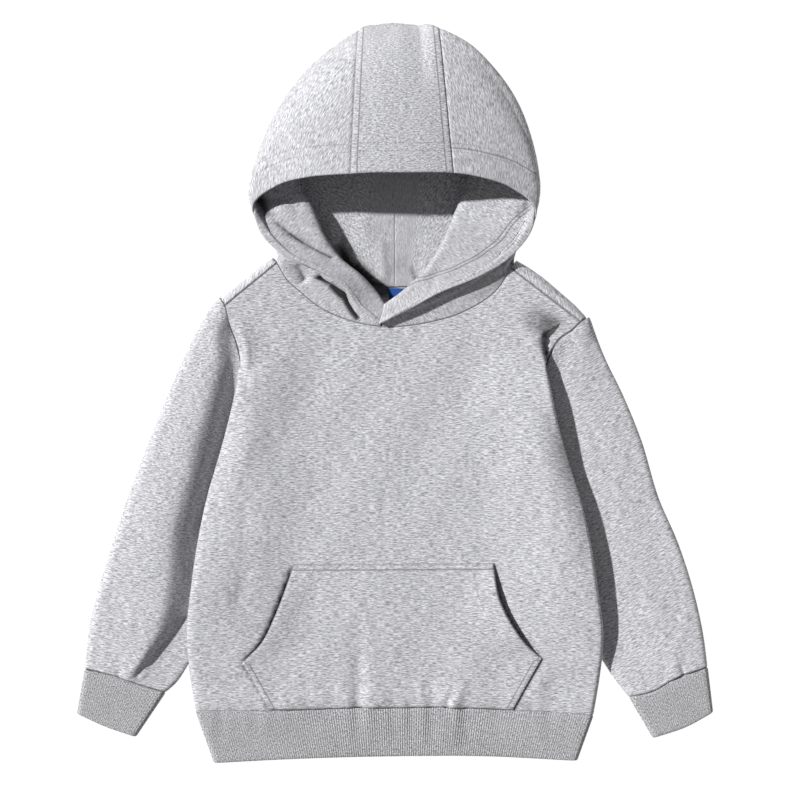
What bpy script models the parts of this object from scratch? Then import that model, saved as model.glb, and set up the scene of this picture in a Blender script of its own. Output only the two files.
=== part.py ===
"""A toddler's hooded sweatshirt, laid flat on its back with the hood propped open.

+Z is up from the surface it lies on, +Y points from the hem to the hood, +X is the wearer's left.
Every piece is a wall of cloth: a middle surface worked out on a grid, and the thickness on both
sides of it. Lengths below are millimetres, and the meshes are made in metres.
"""

import bpy
import numpy as np

METRE = 0.001

# Cloth thicknesses, and the gaps left along a seam and between the hood's two layers.
FLEECE = 2.2
RIB = 2.6
HOOD_SHELL = 1.5
HOOD_LINING = 1.2
GAP = 0.3
LAYER_GAP = 0.5
HALF = FLEECE / 2

# The body's edge from the hem up to the armhole, then the armhole seam up to the shoulder.
# Each row: y, distance from the middle.
BODY_EDGE = {
    "right": ((-277, 174), (-242, 179), (-205, 181), (-169, 177), (-134, 172), (-90, 163),
              (-49, 151), (-18, 143), (10, 137), (35, 136)),
    "left": ((-281, 173), (-249, 178), (-212, 181), (-170, 176), (-132, 170), (-93, 161),
             (-58, 150), (-25, 141), (0, 136), (23, 131)),
}
ARMHOLE_SEAM = {
    "right": ((35, 136), (46, 139), (59, 144), (77, 148)),
    "left": ((23, 131), (40, 138), (50, 146), (56, 155), (63, 162)),
}
# Cloth of the front that turns under past the body's edge, and the roll of that edge, by y.
TURNED_UNDER = ((-290, 0), (-190, 0), (-150, 8), (-100, 22), (-56, 32), (-20, 18), (8, 6), (23, 0))
EDGE_ROLL = ((-290, 5), (-220, 7), (-56, 7), (-10, 5), (12, 2.5), (23, 0.8), (36, 0.4))

# Heights of the middle of the cloth by y: the front along its middle and along its edge, and the
# layer under that edge, which passes over the sleeve.
FRONT_HEIGHT = ((-290, 8.5, 9), (-235, 11, 14), (-190, 13.5, 18), (-56, 14.5, 20), (20, 14.5, 18.5),
                (60, 13.5, 16.5), (120, 13, 14))
UNDER_HEIGHT = ((-290, 1.1), (-262, 3), (-235, 7.8), (-200, 9.4), (-56, 9.6), (-20, 9.8),
                (10, 10.6), (23, 11.4), (36, 12))

# Seams in plan: x, y.
HEM_SEAM = ((-174, -277), (-110, -277), (-65, -276), (-29, -274.8), (4, -275), (37, -274.4),
            (103, -277), (150, -279), (173, -281))
HEM_END = ((-158, -323), (-101, -320), (4, -317), (77, -317), (159, -321))
FRONT_NECK = ((-103, 114), (-95, 101), (-81, 88), (-64, 75), (-38, 64), (-12, 59), (26, 62),
              (60, 72), (91, 93), (101, 110))
BACK_NECK = ((-103, 115.4), (-85, 109), (-64, 103), (-40, 98), (0, 94), (40, 98), (62, 103),
             (82, 108), (101, 110))
# The rows of the two tables above at the middle of the nape and where the hood's ends meet.
NAPE = 4
FRONT_CENTRE = 5
SHOULDER_SEAM = {"right": ((-148, 77), (-103, 114)), "left": ((101, 110), (162, 63))}
# The fold above each shoulder: its two ends, and how far its middle bows out.
SHOULDER_FOLD = {"right": ((-104, 120), (-150, 83), 1), "left": ((99, 120), (167, 66), 4)}
SHOULDER_ROLL = 6
# How far the back keeps from the front's turned edge, the armholes and the shoulder seams, and the
# hem band from the front.
EDGE_GAP = 2.8
ARMHOLE_GAP = 4.2
SHOULDER_GAP = 1.3
HEM_GAP = 1.1
# How far the back keeps from the underarm point, where it climbs from the surface onto the sleeve.
UNDERARM_INSET = 4
# Where the sleeve's fold comes out of the armhole under the body.
UNDERARM_Y = -56

# Sleeves in plan: the outer edge, the fold under the body, the two armhole curves, the cuff seam.
SLEEVE = {
    "right": {
        "outer": ((-152.6, 84), (-161, 74), (-173, 53), (-189, 19), (-208, -27), (-227, -75),
                  (-247, -134), (-267, -206), (-271, -241)),
        "inner": ((-122, -54), (-124, -93), (-133, -146), (-152, -190), (-181, -235),
                  (-194, -254), (-202, -261)),
        "front": ((-152.6, 84), (-150.6, 77), (-146.2, 60), (-141, 48), (-135.5, 34), (-127, 8),
                  (-122, -54)),
        "back": ((-152.6, 84), (-149.8, 76), (-146.6, 64), (-134, 30), (-124, -20), (-122, -54)),
        "cuff": ((-271, -241), (-245, -247), (-219, -256), (-202, -261)),
    },
    "left": {
        "outer": ((169.5, 66.8), (183, 32), (199, -1), (215, -40), (231, -93), (247, -130),
                  (261, -173), (270, -215), (273, -239)),
        "inner": ((121, -58), (124, -93), (133, -146), (152, -190), (182, -232), (194, -250),
                  (206, -265)),
        "front": ((169.5, 66.8), (164, 61), (147.5, 48.5), (136, 34), (125, 0), (121, -58)),
        "back": ((169.5, 66.8), (163.5, 57.5), (156, 47), (140, 20), (126, -25), (121, -58)),
        "cuff": ((273, -239), (245, -249), (226, -260), (206, -265)),
    },
}
# The top layer of a sleeve along its length: where across it the crown and the valley beside the
# body lie, and the heights of the crown, the valley and the fold under the body.
SLEEVE_PROFILE = {
    "right": ((0.0, 0.12, 15.5, 0.42, 8.8, 4.5), (0.12, 0.22, 20, 0.47, 6.8, 4.5),
              (0.3, 0.29, 24, 0.52, 5.8, 4.4), (0.5, 0.33, 24.5, 0.57, 5.8, 4.4),
              (0.7, 0.4, 22, 0.72, 5.9, 4.5), (0.86, 0.47, 17, 0.85, 6.4, 5.0),
              (1.0, 0.5, 11, 0.9, 9.5, 8.0)),
    "left": ((0.0, 0.12, 14, 0.42, 8.8, 4.5), (0.12, 0.2, 14, 0.47, 6.8, 4.5),
             (0.3, 0.28, 14, 0.52, 5.8, 4.4), (0.5, 0.31, 14, 0.57, 5.8, 4.4),
             (0.7, 0.36, 14, 0.73, 5.9, 4.5), (0.86, 0.42, 13.5, 0.9, 6.4, 5.0),
             (1.0, 0.5, 11, 0.9, 9.5, 8.0)),
}
SLEEVE_ROLL = {"right": (7, 3.2), "left": (6, 3.2)}
# How much lower than its crown a sleeve is at its outer edge.
SLEEVE_SLOPE = {"right": 4.5, "left": 1.5}
CUFF_END = {"right": ((-278, -280), (-254, -291), (-228, -300)),
            "left": ((278, -279), (256, -291), (227, -301))}
CUFF_ROLL = 4
HEM_ROLL = 4.2
CUFF_HEIGHT = (9.6, 8)
HEM_END_HEIGHT = 8

# The pocket in plan: the slanting lower side and the curved opening, from the hem to the top.
POCKET_SIDE = {
    "right": ((-110, -275.6), (-133, -235), (-116, -217), (-105, -195), (-96, -172), (-88, -149)),
    "left": ((103, -276), (128, -231), (115, -219), (102, -201), (91, -178), (86, -148)),
}
POCKET_CORNER_SHARE = 0.33
POCKET_LIFT = 3.4

# Sections of the hood round the face opening, from its front end on the wearer's right (-1) over
# the crown (0) to its front end on the left (1). Each row: the share of the opening; rim x, y, z;
# outer edge x, y; inner fold x, y; floor fold x, y; share of the neckline; and the heights of the
# cloth above and below the outer edge, the inner fold and the floor fold.
HOOD_SECTIONS = (
    (-1.00, -12.5, 61, 18.8, -12, 63, -9, 77, -11.5, 69, -0.995, 18.7, 18.7, 18.7, 15.3, 15.1, 14.8),
    (-0.91, -31, 75, 22.5, -29, 77, -17, 89, -29, 78, -0.88, 22, 21.8, 20.8, 16.6, 16.3, 15),
    (-0.82, -45, 94, 30, -42.5, 95, -29, 102, -49, 91, -0.755, 29.3, 29, 26, 19.5, 19.5, 15.6),
    (-0.69, -72, 109, 33, -68.5, 110.5, -49, 119, -75, 107, -0.59, 32.3, 32, 27, 20.5, 20.5, 16),
    (-0.58, -99, 122, 34, -94, 124.3, -62, 139, -99, 129, -0.484, 33, 32, 26, 19, 19, 12.5),
    (-0.49, -117, 142, 34, -112.5, 145, -72, 162, -113, 153, -0.45, 32, 30, 23, 15, 14.5, 5),
    (-0.42, -121.5, 164, 37, -124.5, 174, -84, 184, -119, 180, -0.39, 30, 20, 20, 11, 11, 1.65),
    (-0.34, -101, 179, 48, -111, 227, -84, 214, -107, 223, -0.30, 26, 18, 18, 9.5, 9.5, 1.65),
    (-0.25, -74, 185, 62, -80, 276, -72, 264, -78, 272, -0.186, 23, 16, 16, 8.8, 8.8, 1.65),
    (-0.15, -38, 187, 70, -32, 315, -31, 313.5, -31, 313.5, -0.07, 22, 18.5, 14.5, 10.5, 7.5, 1.65),
    (-0.075, -19, 188, 71.5, -15, 319.8, -15, 318.8, -15, 318.4, -0.033, 22, 18.5, 14.5, 10.5, 7.5, 1.65),
    (0.00, 0, 188, 72, 0, 321, 0, 320, 0, 319.5, 0.0, 22, 18.5, 14.5, 10.5, 7.5, 1.65),
    (0.085, 25, 188.2, 71, 20, 319.4, 20, 318.2, 20, 317.9, 0.031, 22, 18.5, 14.5, 10.5, 7.5, 1.65),
    (0.17, 50, 188, 68, 38, 315, 36, 313.5, 36, 313.5, 0.064, 46, 18.5, 14.5, 10.5, 7.5, 1.65),
    (0.25, 76, 184, 64, 83, 276, 74, 262, 81, 271, 0.157, 53, 24, 16, 8.8, 8.8, 1.65),
    (0.34, 100, 176, 58, 112, 225, 70, 213, 108, 220, 0.25, 52, 25, 18, 9.5, 9.5, 1.65),
    (0.42, 119, 161, 50, 123.5, 173, 64, 185, 118, 178, 0.34, 47, 27, 21, 11.5, 11.5, 1.65),
    (0.49, 118, 142, 38, 112, 145, 54, 160, 113, 153, 0.40, 36, 33, 27, 20, 19, 8),
    (0.58, 100, 119, 26.5, 93, 122, 45, 138, 103, 125, 0.445, 26, 25.6, 25, 21.4, 21.4, 18),
    (0.69, 73, 102, 28, 68, 104, 34, 118, 75, 104, 0.53, 27.4, 27, 25, 20.4, 20.4, 16.6),
    (0.82, 37, 87, 28.5, 34.5, 89, 20, 101, 46, 86, 0.684, 27.5, 27, 25, 20, 19.6, 16),
    (0.91, 13, 74, 26.5, 11.8, 76.3, 6, 88, 18, 75, 0.84, 25.8, 25.6, 24.5, 20, 19.6, 16),
    (1.00, -13.5, 61, 23.8, -12.7, 63.4, -8, 78, -4, 70, 0.972, 23.6, 23.6, 23.4, 20.0, 19.4, 16.2),
)
CENTRE_PANEL = (-0.15, 0.17)
# The dome between the rim and the outer edge: the share of the way out, and of the height kept.
DOME = ((0.4, 1.0), (0.8, 0.9))
# How far a fold's rounding reaches back along its layers, as a multiple of their distance.
FOLD_LENGTH = 1.2
EDGE_FOLD_LENGTH = 0.35
# The hood's cloth keeps this far from the neck's seam, on the way to this point.
NECK_CLEARANCE = 1.6
NECK_TOWARDS = (0, 180)
# At the neck's two corners it keeps farther away, within this share of the neckline.
CORNER_CLEARANCE = 2.8
CORNER_REACH = 0.07
# The hood's layers lie on the surface at this height of their middle.
HOOD_FLOOR_HEIGHT = LAYER_GAP / 2 + HOOD_SHELL

LABEL_SIZE = (14, 13)
LABEL_PLACE = (2, 86)
LABEL_HALF = 0.5


# ---------------------------------------------------------------- curves and surfaces

def smooth(rows, at):
    """A smooth curve through the rows, read at values of the rows' first column.

    Between two rows it is the cubic whose slopes at the rows are the table's own slopes.
    """
    table = np.asarray(rows, float)
    key, value = table[:, 0], table[:, 1:]
    slope = np.gradient(value, key, axis=0)
    at = np.asarray(at, float)
    i = np.clip(np.searchsorted(key, at, side="right") - 1, 0, len(key) - 2)
    span = (key[i + 1] - key[i])[..., None]
    f = np.clip((at - key[i])[..., None] / span, 0, 1)
    start = (2 * f**3 - 3 * f**2 + 1) * value[i] + (f**3 - 2 * f**2 + f) * span * slope[i]
    end = (3 * f**2 - 2 * f**3) * value[i + 1] + (f**3 - f**2) * span * slope[i + 1]
    return start + end


def along(points, shares):
    """Points on the smooth curve through the given ones, at shares of its length."""
    points = np.asarray(points, float)
    chord = np.linalg.norm(np.diff(points, axis=0), axis=1)
    key = np.concatenate([[0], np.cumsum(chord)]) / chord.sum()
    return smooth(np.column_stack([key, points]), shares)


def chain(curves, cuts, shares):
    """Several curves end to end, each over its own stretch between the cuts, 0 and 1."""
    shares = np.asarray(shares, float)
    bounds = (0, *cuts, 1)
    out = along(curves[0], shares / bounds[1])
    for curve, low, high in zip(curves[1:], bounds[1:], bounds[2:]):
        out = np.where((shares >= low)[..., None], along(curve, (shares - low) / (high - low)), out)
    return out


def rise(value, low, high):
    """0 up to low, 1 from high on, and a smooth rise between."""
    f = np.clip((value - low) / (high - low), 0, 1)
    return f * f * (3 - 2 * f)


def patch(low, high, start, end, across, up):
    """A Coons patch between four curves, read at shares across and up.

    Each point is the blend of the two side curves and of the two end curves, less the blend of
    the four corners.
    """
    a, u = across[..., None], up[..., None]
    zero, one = np.zeros(1), np.ones(1)
    sides = (1 - a) * start(up) + a * end(up)
    ends = (1 - u) * low(across) + u * high(across)
    corners = ((1 - u) * ((1 - a) * low(zero) + a * low(one))
               + u * ((1 - a) * high(zero) + a * high(one)))
    return sides + ends - corners


def unit(vectors):
    return vectors / np.maximum(np.linalg.norm(vectors, axis=-1, keepdims=True), 1e-9)


def normals(grid, ring):
    """Unit normals of a grid of points: the cross product of its two directions."""
    if ring:
        round_it = np.roll(grid, -1, axis=1) - np.roll(grid, 1, axis=1)
    else:
        round_it = np.gradient(grid, axis=1)
    return unit(np.cross(round_it, np.gradient(grid, axis=0)))


def triangles(a, b, c, d, turned):
    """The two triangles of each quad a-b-c-d: split along b-d where turned, else along a-c."""
    turned = turned[..., None]
    first = np.where(turned, np.stack([a, b, d], -1), np.stack([a, b, c], -1))
    second = np.where(turned, np.stack([b, c, d], -1), np.stack([a, c, d], -1))
    return np.concatenate([first.reshape(-1, 3), second.reshape(-1, 3)])


def wall(name, grid, way, below, above, material, ring=False):
    """A closed wall of cloth between two offsets of a grid along way. A ring joins its last column
    to its first. Both faces are split along each cell's shorter diagonal."""
    rows, columns = grid.shape[:2]
    points = np.concatenate([(grid + way * below).reshape(-1, 3), (grid + way * above).reshape(-1, 3)])
    lower = np.arange(rows * columns).reshape(rows, columns)
    closed = grid
    if ring:
        lower = np.column_stack([lower, lower[:, 0]])
        closed = np.concatenate([grid, grid[:, :1]], 1)
    upper = lower + rows * columns
    turned = (np.linalg.norm(closed[:-1, 1:] - closed[1:, :-1], axis=-1)
              < np.linalg.norm(closed[1:, 1:] - closed[:-1, :-1], axis=-1))

    def cells(g, order):
        quad = [g[:-1, :-1], g[:-1, 1:], g[1:, 1:], g[1:, :-1]]
        return triangles(*quad, turned)[:, ::order]

    def strip(first, second):
        return triangles(first[:-1], first[1:], second[1:], second[:-1], np.zeros(len(first) - 1, bool))

    faces = [cells(lower, 1), cells(upper, -1), strip(upper[0], lower[0]), strip(lower[-1], upper[-1])]
    if not ring:
        faces += [strip(lower[:, 0], upper[:, 0]), strip(upper[:, -1], lower[:, -1])]
    faces = np.concatenate(faces)
    corners = points[faces]
    volume = np.einsum("ij,ij->", corners[:, 0], np.cross(corners[:, 1], corners[:, 2]))
    if volume < 0:
        faces = faces[:, ::-1]
    mesh = bpy.data.meshes.new(name)
    mesh.from_pydata((points * METRE).tolist(), [], faces.tolist())
    mesh.shade_smooth()
    mesh.materials.append(material)
    bpy.context.collection.objects.link(bpy.data.objects.new(name, mesh))


def sheet(name, grid, below, above, material, ring=False):
    wall(name, grid, normals(grid, ring), below, above, material, ring)


def grid_of(across, up):
    return np.meshgrid(np.asarray(across, float), np.asarray(up, float))


# ---------------------------------------------------------------- body

SIDES = {"right": -1, "left": 1}


def armhole_foot(side):
    """The y at which the armhole seam comes out from under the body's edge."""
    return ARMHOLE_SEAM[side][0][0]


def body_edge(x, y):
    """The body's half width at y, on the side that x lies on."""
    return np.where(x < 0, smooth(BODY_EDGE["right"], y)[..., 0], smooth(BODY_EDGE["left"], y)[..., 0])


def front_height(x, y):
    """Height of the front: low along the middle, higher over the sleeves."""
    middle, edge = np.moveaxis(smooth(FRONT_HEIGHT, y), -1, 0)
    return middle + (edge - middle) * rise(np.abs(x) / body_edge(x, y), 0.45, 0.93)


def edge_section(x, y):
    """The rounded edge at (x, y): its roll, heights above and below, and quarter arc's length."""
    roll = smooth(EDGE_ROLL, y)[..., 0]
    high = front_height(np.sign(x) * (body_edge(x, y) - roll), y)
    low = smooth(UNDER_HEIGHT, y)[..., 0]
    half = np.maximum((high - low) / 2, 0.05)
    return roll, high, low, np.pi / 2 * np.sqrt((roll**2 + half**2) / 2)


def turned_under(side, y):
    """Width of the front's cloth that turns under past the body's edge at y."""
    return np.where(y < armhole_foot(side), np.maximum(smooth(TURNED_UNDER, y)[..., 0], 0), 0)


def fold_side(flat, kept, way):
    """Bends flat cloth round the body's edge, where it lies near or past it.

    Within one arc of the edge the cloth follows a quarter ellipse to the edge and a second one
    beyond it, and then returns inwards. way is 1 for the front, which comes from above, and -1
    for the back.
    """
    x, y = flat[..., 0], flat[..., 1]
    roll, high, low, arc = edge_section(x, y)
    edge = body_edge(x, y)
    t = edge + (arc - roll) - np.abs(x)
    angle = np.clip(t / arc, -1, 1) * np.pi / 2
    inwards = np.where(np.abs(t) < arc, roll * (1 - np.cos(angle)), roll + np.abs(t) - arc)
    z = (high + low) / 2 + way * (high - low) / 2 * np.sin(angle)
    folded = np.stack([np.sign(x) * (edge - inwards), y, z], -1)
    foot = np.where(x < 0, armhole_foot("right"), armhole_foot("left"))
    return np.where(((y < foot) & (t < arc))[..., None], folded, kept)


# Columns of a body panel's grid beside its side edge: the distance from that edge, and the share
# added to it of the width turned under there. Past the last of them the edge's own bends fade out.
EDGE_COLUMNS = ((0, 0), (1.3, 0.45), (2.6, 0.62), (4.2, 0.8), (6.8, 1), (11, 1))
EDGE_REACH = 108


def panel(edge, head, top, corners, rows, middle, turned):
    """A body panel's flat cloth in plan, as a grid between its four edges.

    edge gives |x| of a side edge, head is the y at which it ends, and top are the curves from one
    side's head to the other's, which meet at the given columns. rows are the y of the grid's rows
    on the wearer's right, and middle the shares of its columns between those beside the edges.
    The grid is the blend of the hem and a line between the heads, to which the top's own shape is
    added as the cube of the height. Near a side it bends with that side's edge.
    """
    up = (np.asarray(rows, float) - rows[0]) / (rows[-1] - rows[0])

    def line(side):
        y = BODY_EDGE[side][0][0] * (1 - up) + head[side] * up
        return np.stack([SIDES[side] * edge(side, y), y], -1)

    right, left = line("right"), line("left")
    width = np.linalg.norm(left - right, axis=-1)[:, None]
    apart, part = np.transpose(EDGE_COLUMNS)
    near_right = apart + part * turned("right", right[:, 1])[:, None]
    near_left = apart + part * turned("left", left[:, 1])[:, None]
    first, last = near_right[:, -1:], width - near_left[:, -1:]
    distance = np.concatenate([near_right, first + (last - first) * np.array(middle),
                               width - near_left[:, ::-1]], 1)
    across = distance / width
    hem = (right[0], *HEM_SEAM[1:-1], left[0])
    share, climb = across[..., None], up[:, None, None]
    heads = (1 - share) * right[-1] + share * left[-1]
    grid = (1 - climb) * along(hem, across) + climb * heads
    grid += climb**3 * (chain(top, across[-1, list(corners)], across) - heads)
    for side, away, near in ((right, distance, first), (left, width - distance, width - last)):
        bend = side - ((1 - up[:, None]) * side[0] + up[:, None] * side[-1])
        grid += bend[:, None] * (1 - rise(away, near, near + EDGE_REACH))[..., None]
    return grid


FRONT_ROWS = (-277, -262, -238, -208, -178, -148, -122, -100, -78, -56, -34, -10, 14, 35, 48, 62, 77)
FRONT_COLUMNS = (0.08, 0.15, 0.19, 0.245, 0.31, 0.375, 0.44, 0.5, 0.565, 0.635, 0.7, 0.76, 0.81, 0.85,
                 0.92)
FRONT_CORNERS = (7, -8)


def front_edge(side, y):
    """Distance from the middle to the front's side edge, in the flat cloth."""
    outline = smooth(BODY_EDGE[side] + ARMHOLE_SEAM[side][1:], y)[..., 0]
    roll, _, _, arc = edge_section(SIDES[side] * np.ones_like(y), y)
    return outline + np.where(y < armhole_foot(side), arc - roll + turned_under(side, y), 0)


def bordered(flat):
    """The flat cloth with one more column past each side edge, so that its edges' slopes are true."""
    return np.concatenate([2 * flat[:, :1] - flat[:, 1:2], flat, 2 * flat[:, -1:] - flat[:, -2:-1]], 1)


def front_surface():
    """The front: flat cloth between the hem seam, the armholes and the neck, folded at its edges."""
    head = {side: ARMHOLE_SEAM[side][-1][0] for side in SIDES}
    top = (SHOULDER_SEAM["right"], FRONT_NECK, SHOULDER_SEAM["left"])
    flat = bordered(panel(front_edge, head, top, FRONT_CORNERS, FRONT_ROWS, FRONT_COLUMNS, turned_under))
    kept = np.concatenate([flat, front_height(flat[..., 0], flat[..., 1])[..., None]], -1)
    return fold_side(flat, kept, 1)


def sleeve_fold_x(y):
    """Distance from the middle to the sleeve's fold under the body, the mean of both sides."""
    rows = sorted((p[1], (abs(p[0]) + abs(q[0])) / 2)
                  for p, q in zip(SLEEVE["right"]["inner"], SLEEVE["left"]["inner"]))
    return smooth(rows, y)[..., 0]


def back_height(x, y):
    """Height of the back: on the surface, and over the sleeve where that lies under it."""
    over = smooth(UNDER_HEIGHT, np.minimum(y, UNDERARM_Y))[..., 0] - HALF
    fold = sleeve_fold_x(y)
    return HALF + over * rise(np.abs(x), fold - 34, fold - 9) * rise(-y, 40, 54)


def shoulder_section(side, x, y):
    """The rounded shoulder near (x, y): how far the point lies beyond its fold, the way out of it,
    half the height of its arc and the quarter arc's length."""
    first, last, bow = SHOULDER_FOLD[side]
    first, last = np.array(first, float), np.array(last, float)
    way = unit(last - first)
    out = np.array([way[1], -way[0]])
    out = out if out[1] > 0 else -out
    offset = np.stack([x - first[0], y - first[1]], -1)
    share = np.clip(offset @ way / np.linalg.norm(last - first), 0, 1)
    ends = sorted(SHOULDER_SEAM[side], key=lambda p: abs(p[0]))
    neck, tip = (front_height(np.float64(px), np.float64(py)) for px, py in ends)
    half = (neck + (tip - neck) * share - HALF) / 2
    arc = np.pi / 2 * np.sqrt((SHOULDER_ROLL**2 + half**2) / 2)
    return offset @ out - bow * 4 * share * (1 - share), out, half, arc


def fold_shoulder(flat, kept, side):
    """Bends the back's flat cloth up and forward round the shoulder's fold."""
    x, y = flat[..., 0], flat[..., 1]
    beyond, out, half, arc = shoulder_section(side, x, y)
    t = (arc - SHOULDER_ROLL) - beyond
    angle = np.clip(t / arc, -1, 1) * np.pi / 2
    inwards = np.where(np.abs(t) < arc, SHOULDER_ROLL * (1 - np.cos(angle)),
                       SHOULDER_ROLL + np.abs(t) - arc)
    place = flat - (beyond + inwards)[..., None] * out
    folded = np.concatenate([place, (HALF + half - half * np.sin(angle))[..., None]], -1)
    near = (t < arc) & (x * SIDES[side] > 0)
    return np.where(near[..., None], folded, kept)


def unfold_shoulder(point, side):
    """Where a point of the shoulder seam lies in the back's flat cloth, with the seam's gap."""
    x, y = np.asarray(point, float)
    beyond, out, _, arc = shoulder_section(side, x, y)
    return tuple(np.array([x, y]) + out * (2 * (arc - SHOULDER_ROLL) - 2 * beyond - SHOULDER_GAP))


def back_edge(side, y):
    """Distance from the middle to the back's side edge, in the flat cloth."""
    roll, _, _, arc = edge_section(SIDES[side] * np.ones_like(y), y)
    low = smooth(BODY_EDGE[side], y)[..., 0] + arc - roll - turned_under(side, y) - EDGE_GAP
    armhole = [(q, abs(p) - ARMHOLE_GAP - UNDERARM_INSET * (q < UNDERARM_Y / 2))
               for p, q in SLEEVE[side]["back"][:0:-1]]
    fold = np.array(SHOULDER_FOLD[side][1], float)
    _, out, _, arc = shoulder_section(side, *fold)
    seam_end = SHOULDER_SEAM[side][max(SIDES[side], 0)]
    wrap = (fold + out * (arc - SHOULDER_ROLL), unfold_shoulder(seam_end, side))
    armhole += [(q, abs(p) - ARMHOLE_GAP) for p, q in wrap]
    return np.where(y < UNDERARM_Y, low, smooth(armhole, y)[..., 0])


BACK_ROWS = (*FRONT_ROWS[:9], -60, -52, -45, -36, -10, 12, 30, 46, 60, 68, 74, 80, 86, 91)
BACK_COLUMNS = (0.08, 0.135, 0.165, 0.195, 0.29, 0.39, 0.5, 0.61, 0.71, 0.805, 0.835, 0.865, 0.92)
BACK_CORNERS = (7, 9, -10, -8)


def back_surface():
    """The back: flat cloth that wraps the shoulders, and the body's edges below the sleeves."""
    seam = SHOULDER_SEAM
    right, left = ([unfold_shoulder(p, side) for p in np.linspace(*seam[side], 9)] for side in SIDES)
    top = (right, (right[-1], BACK_NECK[0]), BACK_NECK, (BACK_NECK[-1], left[0]), left)
    head = {"right": right[0][1], "left": left[-1][1]}
    rows = (*BACK_ROWS[:-1], head["right"])
    flat = bordered(panel(back_edge, head, top, BACK_CORNERS, rows, BACK_COLUMNS, lambda side, y: 0 * y))
    kept = np.concatenate([flat, back_height(flat[..., 0], flat[..., 1])[..., None]], -1)
    kept = np.where(flat[..., 1:] < UNDERARM_Y, fold_side(flat, kept, -1), kept)
    for side in SIDES:
        kept = fold_shoulder(flat, kept, side)
    return kept


def make_body(fleece):
    for name, grid in (("front_panel", front_surface()), ("back_panel", back_surface())):
        wall(name, grid[:, 1:-1], normals(grid, False)[:, 1:-1], -HALF, HALF, fleece)


# ---------------------------------------------------------------- sleeves, cuffs and hem band

RING_SPREAD = (0.0, 0.13, 0.27, 0.41, 0.55, 0.7, 0.85, 1.0)


def ring_shares(width, rolls):
    """Shares across a flat tube from one edge to the other, close together in the rounded edges."""
    first = rolls[0] * (1 - np.cos(np.radians([0, 35, 65])))
    last = rolls[1] * (1 - np.cos(np.radians([65, 35, 0])))
    middle = np.outer(width - rolls[0] - rolls[1], RING_SPREAD) + rolls[0]
    rows = np.ones((len(width), 1))
    return np.concatenate([rows * first, middle, width[:, None] - rows * last], 1) / width[:, None]


def rounded(shares, width, rolls):
    """1 in the flat part of a tube and 0 at its two edges, along a quarter circle between."""
    d = shares * width[:, None]
    near = np.minimum(np.clip(d / rolls[0], 0, 1), np.clip((width[:, None] - d) / rolls[1], 0, 1))
    return np.sqrt(np.maximum(1 - (1 - near)**2, 0))


def flat_tube(top_plan, bottom_plan, height, shares, width, rolls, ground):
    """Rings of a tube that lies flat: over the top from edge to edge and back along the surface."""
    full = rounded(shares, width, rolls)
    top, bottom = height(shares), np.full_like(shares, ground)
    middle, half = (top + bottom) / 2, (top - bottom) / 2
    over = np.concatenate([top_plan, (middle + half * full)[..., None]], -1)
    under = np.concatenate([bottom_plan, (middle - half * full)[..., None]], -1)
    return np.concatenate([over, under[:, -2:0:-1]], 1)


def sleeve_height(side, along_it, shares):
    """Height of the sleeve's top layer: a crown, a valley beside the body and a low inner fold."""
    rows = []
    for share, across in zip(along_it, shares):
        crown_at, crown, valley_at, valley, fold = smooth(SLEEVE_PROFILE[side], share)
        profile = ((0, crown - SLEEVE_SLOPE[side]), (crown_at, crown), (valley_at, valley),
                   ((valley_at + 1) / 2, (valley + fold) / 2), (1, fold))
        rows.append(smooth(profile, across)[..., 0])
    return np.array(rows)


SLEEVE_ALONG = (0, 0.04, 0.09, 0.17, 0.28, 0.4, 0.52, 0.64, 0.75, 0.85, 0.93, 1)


def sleeve_surface(side, along_it):
    plan = SLEEVE[side]
    length = np.asarray(along_it, float)
    outer, inner = along(plan["outer"], length), along(plan["inner"], length)
    width = np.linalg.norm(outer - inner, axis=1)
    rolls = SLEEVE_ROLL[side]
    shares = ring_shares(width, rolls)
    up = np.repeat(length[:, None], shares.shape[1], 1)

    def layer(armhole):
        return patch(lambda u: along(plan[armhole], u), lambda u: along(plan["cuff"], u),
                     lambda v: along(plan["outer"], v), lambda v: along(plan["inner"], v), shares, up)

    return flat_tube(layer("front"), layer("back"), lambda e: sleeve_height(side, length, e),
                     shares, width, rolls, HALF)


def make_sleeves(fleece):
    for side in ("right", "left"):
        sheet(f"sleeve_{side}", sleeve_surface(side, SLEEVE_ALONG), -HALF, HALF, fleece, ring=True)


def band(name, first, last, heights, roll, steps, rib):
    """A rib band: a flat tube between a seam and its free end, rounded at both edges."""
    f = np.linspace(0, 1, steps)
    ends = [(1 - f)[:, None] * along(first, np.array([e])) + f[:, None] * along(last, np.array([e]))
            for e in (0.0, 1.0)]
    width = np.linalg.norm(ends[1] - ends[0], axis=1)
    rolls = (roll, roll)
    shares = ring_shares(width, rolls)
    g = f[:, None, None]
    plan = (1 - g) * along(first, shares) + g * along(last, shares)
    height = heights(plan, f)
    sheet(name, flat_tube(plan, plan, lambda e: height, shares, width, rolls, RIB / 2),
          -RIB / 2, RIB / 2, rib, ring=True)


def shifted(points, move):
    return [tuple(np.asarray(p, float) + move) for p in points]


def make_cuffs(rib):
    low = {"right": (-0.5, -1.9), "left": (0.6, -1.9)}
    for side in ("right", "left"):
        band(f"cuff_{side}", shifted(SLEEVE[side]["cuff"], low[side]), CUFF_END[side],
             lambda plan, f: np.repeat(np.interp(f, (0, 1), CUFF_HEIGHT)[:, None], plan.shape[1], 1),
             CUFF_ROLL, 4, rib)


def make_hem_band(rib):
    def heights(plan, f):
        seam = front_height(plan[..., 0], np.full(plan.shape[:2], HEM_SEAM[0][1]))
        return seam + (HEM_END_HEIGHT - seam) * f[:, None]

    band("hem_band", shifted(HEM_SEAM, (0, -HEM_GAP)), HEM_END, heights, HEM_ROLL, 4, rib)


# ---------------------------------------------------------------- pocket and label

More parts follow.
